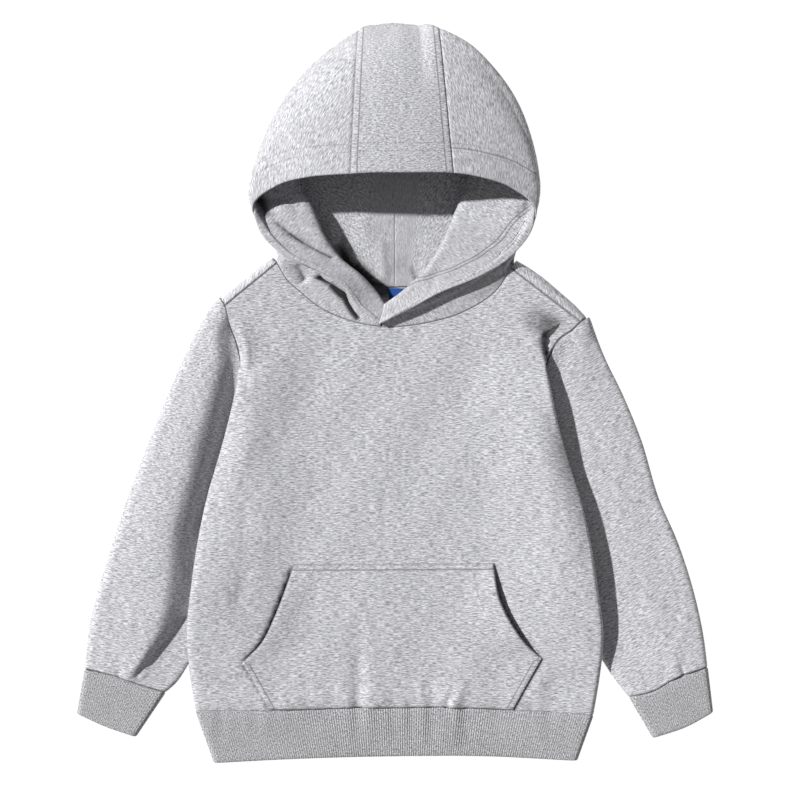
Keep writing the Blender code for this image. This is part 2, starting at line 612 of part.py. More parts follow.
POCKET_ACROSS = (0, 0.05, 0.11, 0.2, 0.35, 0.5, 0.65, 0.8, 0.89, 0.95, 1)
POCKET_UP = (0, 0.16, POCKET_CORNER_SHARE, 0.45, 0.58, 0.72, 0.86, 1)


def pocket_surface(across, up):
    """The pocket: a patch of the front's own plan, laid on the front and lifted at its openings."""
    def side(name):
        rows = POCKET_SIDE[name]
        return lambda v: chain((rows[:2], rows[1:]), (POCKET_CORNER_SHARE,), v)

    hem = [(x, y + 0.9) for x, y in HEM_SEAM[2:6]]
    start, end = side("right"), side("left")
    hem = (POCKET_SIDE["right"][0], *hem, POCKET_SIDE["left"][0])
    top = (POCKET_SIDE["right"][-1], POCKET_SIDE["left"][-1])
    plan = patch(lambda u: along(hem, u), lambda u: along(top, u), start, end, across, up)
    low, high = POCKET_CORNER_SHARE - 0.12, POCKET_CORNER_SHARE + 0.1
    opening = rise(up, low, high) * (1 - rise(up, 0.75, 0.97))
    lift = POCKET_LIFT * opening * (1 - rise(np.minimum(across, 1 - across), 0, 0.2))
    z = front_height(plan[..., 0], plan[..., 1]) + FLEECE + 1.5 * GAP + lift
    return np.concatenate([plan, z[..., None]], -1)


def make_pocket(fleece):
    sheet("kangaroo_pocket", pocket_surface(*grid_of(POCKET_ACROSS, POCKET_UP)), -HALF, HALF, fleece)


def make_label(blue):
    across, up = grid_of((-0.5, 0, 0.5), (-0.5, 0, 0.5))
    x, y = LABEL_PLACE[0] + across * LABEL_SIZE[0], LABEL_PLACE[1] + up * LABEL_SIZE[1]
    grid = np.stack([x, y, np.full_like(x, FLEECE + GAP + LABEL_HALF)], -1)
    sheet("neck_label", grid, -LABEL_HALF, LABEL_HALF, blue)


# ---------------------------------------------------------------- hood

def lengths(points):
    return np.linalg.norm(np.diff(np.asarray(points, float), axis=0), axis=1)


def neckline(share):
    """The neck seam from the nape (0) round the shoulder to the front: plan and height.

    A negative share lies on the wearer's right. The point is moved a little into the neck.
    """
    share = np.asarray(share, float)
    back, front = lengths(BACK_NECK), lengths(FRONT_NECK)
    nape, centre = back[:NAPE].sum() / back.sum(), front[:FRONT_CENTRE].sum() / front.sum()
    corner = np.where(share < 0, back[:NAPE].sum() / (back[:NAPE].sum() + front[:FRONT_CENTRE].sum()),
                      back[NAPE:].sum() / (back[NAPE:].sum() + front[FRONT_CENTRE:].sum()))
    on_back = np.clip(np.abs(share) / corner, 0, 1)
    on_front = np.clip((np.abs(share) - corner) / (1 - corner), 0, 1)
    behind = along(BACK_NECK, np.where(share < 0, nape * (1 - on_back), nape + (1 - nape) * on_back))
    before = along(FRONT_NECK, np.where(share < 0, centre * on_front, 1 - (1 - centre) * on_front))
    place = np.where((on_front > 0)[..., None], before, behind)
    top = front_height(place[..., 0], place[..., 1])
    climb = rise(np.abs(share), corner - 0.1, corner + 0.02)
    near = np.clip(1 - np.abs(np.abs(share) - corner) / CORNER_REACH, 0, 1)
    clear = NECK_CLEARANCE + CORNER_CLEARANCE * near**2
    place = place + clear[..., None] * unit(np.array(NECK_TOWARDS) - place)
    return lift_to(place, HOOD_FLOOR_HEIGHT + (top - HOOD_FLOOR_HEIGHT) * climb)


def lift_to(plan, z):
    return np.concatenate([plan, z[..., None]], -1)


def hood_controls(share):
    """The control points of the hood's sections at the given shares, rim first, neck seam last.

    A section runs from the rim over the dome to the outer edge, in to the inner fold, out to the
    floor fold and in again to the neck seam. Each fold has four points: two on the layer above it
    and two on the layer below.
    """
    t = smooth(HOOD_SECTIONS, share)
    rim, outer, inner, floor = t[:, 0:3], t[:, 3:5], t[:, 5:7], t[:, 7:9]
    edge, under, band, middle, over, ground = np.maximum(t[:, 10:], HOOD_FLOOR_HEIGHT).T
    neck = neckline(t[:, 9])

    def fold(before, tip, after, above, below, reach=FOLD_LENGTH):
        back, on = before - tip, after - tip
        gap = reach * np.maximum(above - below, 3)

        def set_back(way):
            far = np.linalg.norm(way, axis=1)
            return tip + unit(way) * np.minimum(gap, 0.35 * far)[:, None]

        return [lift_to(set_back(back), above), lift_to(tip, above), lift_to(tip, below),
                lift_to(set_back(on), below)]

    dome = [lift_to(rim[:, :2] + out * (outer - rim[:, :2]), edge + keep * (rim[:, 2] - edge))
            for out, keep in DOME]
    points = [rim, *dome,
              *fold(rim[:, :2], outer, inner, edge, under, EDGE_FOLD_LENGTH),
              *fold(outer, inner, floor, band, middle),
              *fold(inner, floor, neck[:, :2], over, ground),
              lift_to(0.5 * (floor + neck[:, :2]), 0.6 * ground + 0.4 * neck[:, 2]), neck]
    return np.stack(points, 1)


def spline(controls, at):
    """The cubic B-spline of each row of control points, clamped at both ends, read at shares."""
    count, degree = controls.shape[1], 3
    knots = np.concatenate([np.zeros(degree), np.linspace(0, 1, count - degree + 1), np.ones(degree)])
    at = np.clip(np.asarray(at, float), 0, 1 - 1e-9)
    basis = ((knots[:-1] <= at[:, None]) & (at[:, None] < knots[1:])).astype(float)
    for d in range(1, degree + 1):
        rising, falling = knots[d:-1] - knots[:-d - 1], knots[d + 1:] - knots[1:-d]
        left = np.where(rising > 0, (at[:, None] - knots[:-d - 1]) / np.maximum(rising, 1e-12), 0)
        right = np.where(falling > 0, (knots[d + 1:] - at[:, None]) / np.maximum(falling, 1e-12), 0)
        basis = left * basis[:, :-1] + right * basis[:, 1:]
    return np.einsum("rc,scx->rsx", basis, controls)


HOOD_SPANS = 14
# Shares of a section at which the grid's rows lie, in spans between control points.
HOOD_DOWN = (0, 0.6, 1.4, 2.2, 2.9, 3.4, 3.9, 4.5, 5.6, 6.6, 7.2, 7.8, 9.2, 10.6, 11.2, 11.8, 12.9, 14)
# Shares of the face opening at which its columns lie.
HOOD_SHARES = (-1, -0.95, -0.89, -0.82, -0.75, -0.68, -0.62, -0.58, -0.562, -0.545, -0.52, -0.49, -0.455,
               -0.42, -0.38, -0.33, -0.27, -0.21, -0.15, -0.075, 0, 0.085, 0.17, 0.225, 0.28, 0.335,
               0.38, 0.42, 0.455, 0.49, 0.535, 0.558, 0.58, 0.62, 0.68, 0.75, 0.82, 0.89, 0.95, 1)


def hood_surface(shares, down=HOOD_DOWN):
    return spline(hood_controls(np.asarray(shares, float)), np.asarray(down) / HOOD_SPANS)


def make_hood(fleece, lining):
    """Five pieces cut from one surface. At a seam each is drawn back by half the gap."""
    shares = np.array(HOOD_SHARES)
    whole = hood_surface(shares)
    way = normals(whole, False)
    seams = {*CENTRE_PANEL, 0}

    def piece(name, first, last, below, above, material):
        part = slice(HOOD_SHARES.index(first), HOOD_SHARES.index(last) + 1)
        grid = whole[:, part].copy()
        for end, on, share in ((0, 1, first), (-1, -2, last)):
            if share in seams:
                grid[:, end] += GAP / 2 * unit(grid[:, on] - grid[:, end])
        wall(name, grid, way[:, part], below, above, material)

    right, left = CENTRE_PANEL
    shell = (LAYER_GAP / 2, LAYER_GAP / 2 + HOOD_SHELL)
    inside = (-LAYER_GAP / 2 - HOOD_LINING, -LAYER_GAP / 2)
    piece("hood_side_right", -1, right, *shell, fleece)
    piece("hood_centre_panel", right, left, *shell, fleece)
    piece("hood_side_left", left, 1, *shell, fleece)
    piece("hood_lining_right", -1, 0, *inside, lining)
    piece("hood_lining_left", 0, 1, *inside, lining)


# ---------------------------------------------------------------- the whole

def finish(name, colour, roughness):
    material = bpy.data.materials.new(name)
    material.use_nodes = True
    shader = material.node_tree.nodes["Principled BSDF"]
    shader.inputs["Base Color"].default_value = (*colour, 1)
    shader.inputs["Roughness"].default_value = roughness
    shader.inputs["Metallic"].default_value = 0
    return material


def main():
    for thing in list(bpy.data.objects):
        bpy.data.objects.remove(thing)
    fleece = finish("grey marl fleece", (0.5, 0.5, 0.52), 0.92)
    rib = finish("grey marl rib", (0.4, 0.4, 0.41), 0.94)
    blue = finish("blue label", (0.05, 0.17, 0.5), 0.8)
    make_body(fleece)
    make_sleeves(fleece)
    make_cuffs(rib)
    make_hem_band(rib)
    make_pocket(fleece)
    make_hood(fleece, fleece)
    make_label(blue)


main()
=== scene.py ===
"""A toddler's hooded sweatshirt in grey marl, laid flat on its back with the hood propped open.

+Z is up from the surface it lies on, +Y points from the hem to the hood, +X is the wearer's left.
The pattern's tables are in millimetres, and meshes are made in metres.
"""

import bpy
import numpy as np
from bpy.props import FloatProperty, FloatVectorProperty, PointerProperty
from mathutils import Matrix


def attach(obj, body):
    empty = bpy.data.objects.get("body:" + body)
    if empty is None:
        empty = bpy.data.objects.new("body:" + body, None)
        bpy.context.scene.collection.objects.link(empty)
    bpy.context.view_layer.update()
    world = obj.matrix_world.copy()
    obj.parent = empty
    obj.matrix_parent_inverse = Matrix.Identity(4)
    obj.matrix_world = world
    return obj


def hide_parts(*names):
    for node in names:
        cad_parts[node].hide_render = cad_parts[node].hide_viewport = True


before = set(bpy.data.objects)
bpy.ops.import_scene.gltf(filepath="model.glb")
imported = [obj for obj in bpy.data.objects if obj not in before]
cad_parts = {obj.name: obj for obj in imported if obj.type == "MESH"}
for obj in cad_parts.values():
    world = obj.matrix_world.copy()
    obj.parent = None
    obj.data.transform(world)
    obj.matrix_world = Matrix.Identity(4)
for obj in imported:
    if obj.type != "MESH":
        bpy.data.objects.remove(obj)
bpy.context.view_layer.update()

bl_info = {
    "name": "Toddler Hoodie",
    "version": (1, 0, 0),
    "blender": (4, 5, 0),
    "location": "View3D > Sidebar > Hoodie",
    "description": "Sews a toddler's marl hoodie round its packed frame, piece by piece",
    "category": "Add Mesh",
}

METRE = 0.001
BODY = "root"

# ---------------------------------------------------------------- the pattern

# Thicknesses of the cloths, and the gaps at a seam and between the hood's two layers.
FLEECE = 2.2
RIB = 2.6
HOOD_SHELL = 1.5
HOOD_LINING = 1.2
GAP = 0.3
LAYER_GAP = 0.5
HALF = FLEECE / 2

# The body's edge from the hem up to the armhole, then the armhole seam up to the shoulder.
# Each row: y, distance from the middle.
BODY_EDGE = {
    "right": ((-277, 174), (-242, 179), (-205, 181), (-169, 177), (-134, 172), (-90, 163),
              (-49, 151), (-18, 143), (10, 137), (35, 136)),
    "left": ((-281, 173), (-249, 178), (-212, 181), (-170, 176), (-132, 170), (-93, 161),
             (-58, 150), (-25, 141), (0, 136), (23, 131)),
}
ARMHOLE_SEAM = {
    "right": ((35, 136), (46, 139), (59, 144), (77, 148)),
    "left": ((23, 131), (40, 138), (50, 146), (56, 155), (63, 162)),
}
# By y: how much of the front's cloth turns under past the body's edge, and how far in that edge is
# rounded.
TURNED_UNDER = ((-290, 0), (-190, 0), (-150, 8), (-100, 22), (-56, 32), (-20, 18), (8, 6), (23, 0))
EDGE_ROLL = {
    "right": ((-290, 5), (-220, 7), (-56, 7), (-10, 5), (12, 2.5), (23, 0.8), (36, 0.4)),
    "left": ((-290, 4), (-220, 3), (-56, 2.4), (-10, 2.2), (12, 1.6), (23, 0.8), (36, 0.4)),
}

# Heights of the middle of the cloth by y: the front along its middle and along its edge, and the
# layer under that edge, which passes over the sleeve.
FRONT_HEIGHT = ((-290, 8.5, 9), (-235, 11, 14.5), (-190, 13.5, 19.5), (-56, 14.5, 21),
                (20, 14.5, 19), (60, 13.5, 16.5), (120, 13, 14))
UNDER_HEIGHT = ((-290, 1.1), (-262, 3), (-235, 7.8), (-200, 9.4), (-56, 9.6), (-20, 9.8),
                (10, 10.6), (23, 11.4), (36, 12))
# How much higher the front lies along its left edge than the table says.
LEFT_EDGE_LIFT = 3.6

# Seams in plan: x, y.
HEM_SEAM = ((-174, -277), (-110, -277), (-65, -276), (-29, -274.8), (4, -275), (37, -274.4),
            (103, -277), (150, -279), (173, -281))
HEM_END = ((-158, -323), (-101, -320), (4, -317), (77, -317), (159, -321))
FRONT_NECK = ((-103, 114), (-95, 101), (-81, 88), (-64, 75), (-38, 64), (-12, 59), (26, 62),
              (60, 72), (91, 93), (101, 110))
BACK_NECK = ((-103, 115.4), (-85, 109), (-64, 103), (-40, 98), (0, 94), (40, 98), (62, 103),
             (82, 108), (101, 110))
# Which point of the back's neckline is the nape, and which of the front's is its middle.
NAPE = 4
FRONT_CENTRE = 5
SHOULDER_SEAM = {"right": ((-148, 77), (-103, 114)), "left": ((101, 110), (162, 63))}
# The fold above each shoulder: its two ends, and how far its middle bows out.
SHOULDER_FOLD = {"right": ((-104, 120), (-150, 83), 1), "left": ((99, 120), (167, 66), 4)}
# How far in the shoulder's fold is rounded, how far the back's edges stay off the body's edge and
# the armhole seam, how much more near the underarm, and the underarm's y.
SHOULDER_ROLL = 6
EDGE_GAP = 1.2
ARMHOLE_GAP = 0.8
UNDERARM_INSET = 4
UNDERARM_Y = -56

# Sleeves in plan: the outer edge, the fold under the body, the two armhole curves, the cuff seam.
SLEEVE = {
    "right": {
        "outer": ((-152.6, 84), (-161, 74), (-173, 53), (-189, 19), (-208, -27), (-227, -75),
                  (-247, -134), (-267, -206), (-271, -241)),
        "inner": ((-122, -54), (-124, -93), (-133, -146), (-152, -190), (-181, -235),
                  (-194, -254), (-202, -261)),
        "front": ((-152.6, 84), (-148.5, 77.3), (-144.5, 59.2), (-139.5, 46), (-136.3, 34),
                  (-130, 6), (-122, -54)),
        "back": ((-152.6, 84), (-149.8, 76), (-146.6, 64), (-134, 30), (-124, -20), (-122, -54)),
        "cuff": ((-271, -241), (-245, -247), (-219, -256), (-202, -261)),
    },
    "left": {
        "outer": ((169.5, 66.8), (183, 32), (199, -1), (215, -40), (231, -93), (247, -130),
                  (261, -173), (270, -215), (273, -239)),
        "inner": ((121, -58), (124, -93), (133, -146), (152, -190), (182, -232), (194, -250),
                  (206, -265)),
        "front": ((169.5, 66.8), (162.4, 62.6), (155.3, 55.5), (146.4, 49.5), (138.5, 39.6),
                  (131.4, 22), (125, -6), (121, -58)),
        "back": ((169.5, 66.8), (163.5, 57.5), (156, 47), (140, 20), (126, -25), (121, -58)),
        "cuff": ((273, -239), (245, -249), (226, -260), (206, -265)),
    },
}
# The top layer of a sleeve along its length: where across it the crown and the valley beside the
# body lie, and the heights of the crown, the valley and the fold under the body.
SLEEVE_PROFILE = {
    "right": ((0.0, 0.17, 17, 0.42, 7.5, 4.5), (0.08, 0.23, 20, 0.49, 5.8, 4.5),
              (0.165, 0.27, 22.5, 0.54, 5.2, 4.4), (0.31, 0.30, 24, 0.575, 4.9, 4.4),
              (0.4, 0.335, 24.5, 0.60, 4.9, 4.4), (0.54, 0.38, 24.5, 0.665, 4.9, 4.4),
              (0.68, 0.50, 22.5, 0.79, 5.2, 4.5), (0.775, 0.575, 20, 0.785, 5.6, 4.6),
              (0.835, 0.585, 17.5, 0.755, 6.0, 4.8), (0.91, 0.57, 14.5, 0.70, 6.6, 5.4),
              (1.0, 0.5, 11, 0.72, 9.5, 8.0)),
    "left": ((0.0, 0.16, 12, 0.32, 7.5, 4.4), (0.05, 0.14, 9.2, 0.33, 5.4, 4.2),
             (0.12, 0.14, 7.8, 0.38, 5.0, 4.0), (0.3, 0.18, 7.4, 0.46, 5.0, 4.0),
             (0.5, 0.22, 7.6, 0.54, 5.2, 4.0), (0.7, 0.3, 8.4, 0.74, 5.2, 4.2),
             (0.86, 0.42, 9.4, 0.9, 6.2, 5.0), (1.0, 0.5, 11, 0.9, 9.5, 8.0)),
}
# How far in a sleeve's outer and inner edges are rounded.
SLEEVE_ROLL = {"right": (7, 3.2), "left": (3.6, 3.2)}
# A sleeve's length for the spacing of its rings, and its columns between the rounded edges.
SLEEVE_LENGTH = 350
SLEEVE_COLUMNS = 38
# How much lower than its crown a sleeve is at its outer edge.
SLEEVE_SLOPE = {"right": 5.5, "left": 0.8}
# The way in which the knit's courses run across each sleeve, in degrees from the level.
COURSES = {"right": -7, "left": 24}
# The cuffs' free ends in plan, how far in the bands' edges are rounded, and the bands' heights.
CUFF_END = {"right": ((-278, -280), (-254, -291), (-228, -300)),
            "left": ((278, -279), (256, -291), (227, -301))}
CUFF_ROLL = 4
HEM_ROLL = 4.2
# Rings of a band, as shares of its depth, and how much the ribs draw together at its edges.
BAND_STEPS = 9
BAND_EDGE_STEPS = (0.012, 0.04)
BAND_EDGE_POWER = 1.35
# Distance from rib to rib in the flat, and how far each cuff's seam lies off the sleeve's end.
RIB_FLAT_PITCH = 2.1
CUFF_SEAM = {"right": (-0.2, -0.7), "left": (0.25, -0.7)}
HEM_SEAM_MOVE = (0, -0.5)
CUFF_RIB_SHARE = 0.45
CUFF_HEIGHT = (9.6, 8)
HEM_END_HEIGHT = 8

# The pocket in plan: the slanting lower side and the curved opening, from the hem to the top.
POCKET_SIDE = {
    "right": ((-110, -275.6), (-133, -235), (-116, -217), (-105, -195), (-96, -172), (-88, -149)),
    "left": ((103, -276), (128, -231), (115, -219), (102, -201), (91, -178), (86, -148)),
}
# Where up the pocket's side its corner lies. Its width and height for the spacing of its rows, its
# distance from the hem seam, the share of its width that lifts at each opening, and the share of
# the thickness that its sewn edges keep.
POCKET_CORNER_SHARE = 0.33
POCKET_WIDTH, POCKET_HEIGHT = 215, 135
POCKET_HEM_GAP = 0.9
POCKET_LIFT_SHARE = 0.16
POCKET_EDGE_SHARE = 0.3
# How high the pocket stands off the front at each opening, and how deep the front sinks there.
POCKET_LIFT = {"right": 2.2, "left": 4.6}
POCKET_MOUTH = {"right": 3.4, "left": 3.0}
# How dark the front is painted beside the openings and beside the lower sides: painted shade in the
# gap under the pocket's edge and along its sewn lower sides.
POCKET_PAINTED_SHADE = {"right": 0.95, "left": 0.5}
POCKET_LOW_PAINTED_SHADE = 0.4
# How far outside the opening, and inside it, the front still sinks.
POCKET_MOUTH_REACH = {"right": 2.2, "left": 4.5}
POCKET_MOUTH_INSIDE = 26

# Sections of the hood round the face opening, from its front end on the wearer's right (-1) over
# the crown (0) to its front end on the left (1). Each row: the share of the opening; rim x, y, z;
# outer edge x, y; inner fold x, y; floor fold x, y; share of the neckline; and the heights of the
# cloth above and below the outer edge, the inner fold and the floor fold.
HOOD_SECTIONS = (
    (-1.00, -12.5, 61, 18.8, -12, 63, -9, 77, -11.5, 69, -0.995, 18.7, 18.7, 18.7, 15.3, 15.1,
     14.8),
    (-0.91, -31, 75, 22.5, -29, 77, -17, 89, -29, 78, -0.88, 22, 21.8, 20.8, 16.6, 16.3, 15),
    (-0.82, -45, 94, 30, -42.5, 95, -29, 102, -49, 91, -0.755, 29.3, 29, 26, 19.5, 19.5, 15.6),
    (-0.69, -72, 109, 33, -68.5, 110.5, -49, 119, -75, 107, -0.59, 32.3, 32, 27, 20.5, 20.5, 16),
    (-0.58, -99, 122, 34, -94, 124.3, -62, 139, -99, 129, -0.484, 33, 32, 26, 19, 19, 12.5),
    (-0.49, -117, 142, 34, -112.5, 145, -72, 162, -113, 153, -0.45, 32, 30, 23, 15, 14.5, 5),
    (-0.42, -121.5, 164, 37, -124.5, 174, -84, 184, -119, 180, -0.39, 30, 20, 20, 11, 11, 1.65),
    (-0.34, -101, 179, 48, -111, 227, -84, 214, -107, 223, -0.30, 26, 18, 18, 9.5, 9.5, 1.65),
    (-0.25, -74, 185, 62, -80, 276, -72, 264, -78, 272, -0.186, 23, 16, 16, 8.8, 8.8, 1.65),
    (-0.15, -38, 187, 70, -32, 315, -31, 313.5, -31, 313.5, -0.07, 22, 18.5, 14.5, 10.5, 7.5, 1.65),
    (-0.075, -19, 188, 71.5, -15, 319.8, -15, 318.8, -15, 318.4, -0.033, 22, 18.5, 14.5, 10.5, 7.5,
     1.65),
    (0.00, 0, 188, 72, 0, 321, 0, 320, 0, 319.5, 0.0, 22, 18.5, 14.5, 10.5, 7.5, 1.65),
    (0.085, 25, 188.2, 71, 20, 319.4, 20, 318.2, 20, 317.9, 0.031, 22, 18.5, 14.5, 10.5, 7.5, 1.65),
    (0.17, 50, 188, 68, 38, 315, 36, 313.5, 36, 313.5, 0.064, 46, 18.5, 14.5, 10.5, 7.5, 1.65),
    (0.21, 63, 186.6, 66.2, 63.5, 300.5, 55, 290, 58, 294.5, 0.108, 50, 21, 15, 9.6, 8.2, 1.65),
    (0.25, 76, 184, 64, 85, 279, 74, 262, 82, 271, 0.157, 53, 24, 16, 8.8, 8.8, 1.65),
    (0.34, 100, 176, 58, 114.5, 226, 70, 213, 109, 220, 0.25, 52, 25, 18, 9.5, 9.5, 1.65),
    (0.42, 119, 161, 50, 123.5, 173, 64, 185, 118, 178, 0.34, 47, 27, 21, 11.5, 11.5, 1.65),
    (0.49, 118, 142, 38, 112, 145, 54, 160, 113, 153, 0.40, 36, 33, 27, 20, 19, 8),
    (0.58, 100, 119, 26.5, 93, 122, 45, 138, 103, 125, 0.445, 26, 25.6, 25, 21.4, 21.4, 18),
    (0.69, 73, 102, 28, 68, 104, 34, 118, 75, 104, 0.53, 27.4, 27, 25, 20.4, 20.4, 16.6),
    (0.82, 37, 87, 28.5, 34.5, 89, 20, 101, 46, 86, 0.684, 27.5, 27, 25, 20, 19.6, 16),
    (0.91, 13, 74, 26.5, 11.8, 76.3, 6, 88, 18, 75, 0.84, 25.8, 25.6, 24.5, 20, 19.6, 16),
    (1.00, -13.5, 61, 22, -12.9, 63, -9, 77, -11, 67.5, 0.994, 21.8, 21.8, 21.6, 18.4, 18.2, 15.4),
)
# Shares of the opening at which the centre panel ends. The hood's dome between the rim and the
# outer edge: how far out, and how much of the rim's height is kept there.
CENTRE_PANEL = (-0.15, 0.17)
DOME = ((0.4, 1.0), (0.8, 0.9))
# A fold reaches this many times its height, but at least that of the least height and at most a
# share of the way to the next fold.
FOLD_LENGTH = 1.2
EDGE_FOLD_LENGTH = 0.35
FOLD_LEAST = 3
FOLD_MOST = 0.35
# How far the neck seam is moved off the neckline towards a point inside the neck, how much more
# near the neckline's two corners, and how near that is, as a share of the seam.
NECK_CLEARANCE = 0.5
NECK_TOWARDS = (0, 180)
CORNER_CLEARANCE = 0.3
CORNER_REACH = 0.07
HOOD_FLOOR_HEIGHT = LAYER_GAP / 2 + HOOD_SHELL

# The label's width and depth, its middle in plan, how far it lies off the back's cloth, how much it
# curls up, and its tape's thickness.
LABEL_SIZE = (14, 13)
LABEL_PLACE = (2, 86)
LABEL_LIFT = 0.45
LABEL_CURL = 2.2
LABEL_TAPE = 0.6

# Stitch lines, by their distance from an edge: two along the hood's rim, one on each side of its
# centre panel, two along the lining's hem and, on the pocket, two below its top, two inside its
# lower sides and one inside its openings. The hood's left side has a pressed line at its hem.
RIM_STITCHES = (18.0, 25.0)
CENTRE_STITCHES = (6.0,)
LINING_STITCHES = (19.5, 23.0)
PRESSED_LINE = 21
POCKET_TOP_STITCHES = (2.2, 6.4)
POCKET_LOW_STITCHES = (1.6, 6.6)
POCKET_OPENING_STITCHES = (19.0,)
# Where a seam's own dark line lies, and how far from the edge each cloth is drawn down into it.
SEAM_LINE = 0.2
SEAM_REACH = 2.2
RIB_SEAM_REACH = 2.4
HOOD_SEAM_REACH = 2.0
# The way of the knit's courses over the hood's pieces, in degrees, and the opening's length. The
# flaps begin at a share of the opening. The shell takes painted shade on them and, between them,
# only in its rows up to a number, and the centre panel is stitched in its rows up to another.
HOOD_COURSES = {"hood_right": 58, "hood_centre": 0, "hood_left": 104,
                "lining_right": 62, "lining_left": 110}
HOOD_OPENING = 480
FLAPS_FROM = 0.46
SHELL_PAINTED_SHADES_UP_TO = 9
CENTRE_STITCHES_UP_TO = 4.0

SIDES = {"right": -1, "left": 1}

# ---------------------------------------------------------------- creases

# Soft ridges and troughs of the front. Each row: from x, y to x, y; bow of the middle to the left
# of that way; half width; height at the start and at the end, below 0 for a trough.
FRONT_CREASES = (
    (-129, 68, -129, -6, 6, 3.6, -3.2, -2.0),      # beside the right armhole
    (-122, 60, -121, 0, 6, 6.0, 0.7, 0.5),
    (-136, -60, -144, -215, 6, 14, -1.2, -1.6),    # down the right side
    (-120, -30, -158, -130, -6, 9, 0.8, 0.2),
    (-34, -186, -32, -274, 2, 6.5, -0.2, -3.2),    # gathers above the hem band
    (-24, -200, -22, -274, 0, 9.0, 0.3, 1.1),
    (31, -244, 35, -274, 0, 7.0, -0.3, -2.4),
    (54, -256, 45, -274, -1.2, 2.0, -0.4, -3.4),
    (62, -252, 50, -274, -1.0, 5.0, 0.5, 2.0),
    (-160, -236, -150, -276, 0, 9, -0.3, -1.4),
    (146, -196, 136, -268, 3, 11, -0.4, -1.6),
    (152, -228, 118, -262, 0, 8, 0.8, 0.6),
    (-168, -178, -150, -252, 4, 8, -1.3, -0.9),
    (-158, -150, -138, -240, 5, 9, 1.2, 0.7),
    (-128, -148, -152, -206, 3, 7, -1.2, -0.6),
    (-110, -262, -136, -236, 2, 5, 0.8, 0.4),
    (96, 70, 128, -60, -5, 16, -0.9, -0.3),
    (-60, 50, -98, -40, 4, 18, -0.7, -0.2),
)
# Painted shade where the front lies deep beside the left armhole. Rows as above, but with how dark
# the painted shade is in place of the heights.
FRONT_PAINTED_SHADES = (
    (141, 64, 130.5, 52, -1, 2.4, 0.25, 0.5),
    (130.5, 53, 131.5, 36, -1.4, 3.0, 0.5, 0.55),
    (131.5, 37, 132.8, 20, 0, 1.8, 0.55, 0.45),
)
# How much the painted shades of the front and of the hood are strengthened, before 1 cuts them off.
FRONT_PAINTED_SHADE_GAIN = 1.6
HOOD_PAINTED_SHADE_GAIN = 1.8
# Painted shade where the back lies in the dark between the hood's two flaps: x, y, half width and
# half length; below it, how dark that painted shade is at its middle.
NECK_PAINTED_SHADE = (-13, 93, 15, 9)
NECK_PAINTED_SHADE_DEPTH = 0.85
# The sleeve's top layer meets the front's edge from the second of these y up.
SEAM_MEETS = {"right": (12, 40), "left": (28, 50)}
# Where the front drops beside the left armhole: x, y of the line's points, and the drop there.
ARMHOLE_DROP = ((144, 76, 0.0), (141.5, 66, 4.0), (133.5, 59, 7.0), (128.6, 51, 8.0),
                (128.4, 40, 6.8), (129.7, 30, 5.0), (131.7, 21, 2.4), (133, 12, 0.0))
# Ridges and troughs of each sleeve's top layer, in plan. Rows as for the front.
SLEEVE_CREASES = {
    "right": (
        (-176, -190, -227, -247, -2, 2.6, -1.6, -2.4),
        (-181, -188, -229, -241, -2, 4.5, 0.4, 1.2),
        (-244.5, -242, -238, -253, 0, 1.7, -2.4, -2.6),
        (-236, -232, -233, -252, 0, 4.0, 0.3, 1.2),
        (-256, -214, -240, -240, 3, 7, -0.3, -1.0),
        (-196, -245, -212, -236, 0, 5, -0.5, -0.5),
        (-236, -110, -190, -140, -5, 12, -0.9, -0.3),
        (-214, -40, -182, -74, 4, 12, -0.7, -0.2),
        (-250, -172, -214, -196, -4, 10, -0.8, -0.4),
    ),
    "left": (
        (249, -236, 254, -250, 0.5, 1.7, -1.6, -2.6),
        (244, -226, 247, -250, 0, 4.5, 0.3, 1.3),
        (262, -222, 262, -246, 0, 6, 0.2, 1.0),
        (226, -226, 236, -250, 1, 5, -0.2, -1.2),
        (178, 16, 196, -60, -6, 13, -0.8, -0.3),
        (212, -92, 240, -150, 5, 13, -0.9, -0.4),
        (204, -176, 246, -196, 6, 10, -0.8, -0.5),
    ),
}
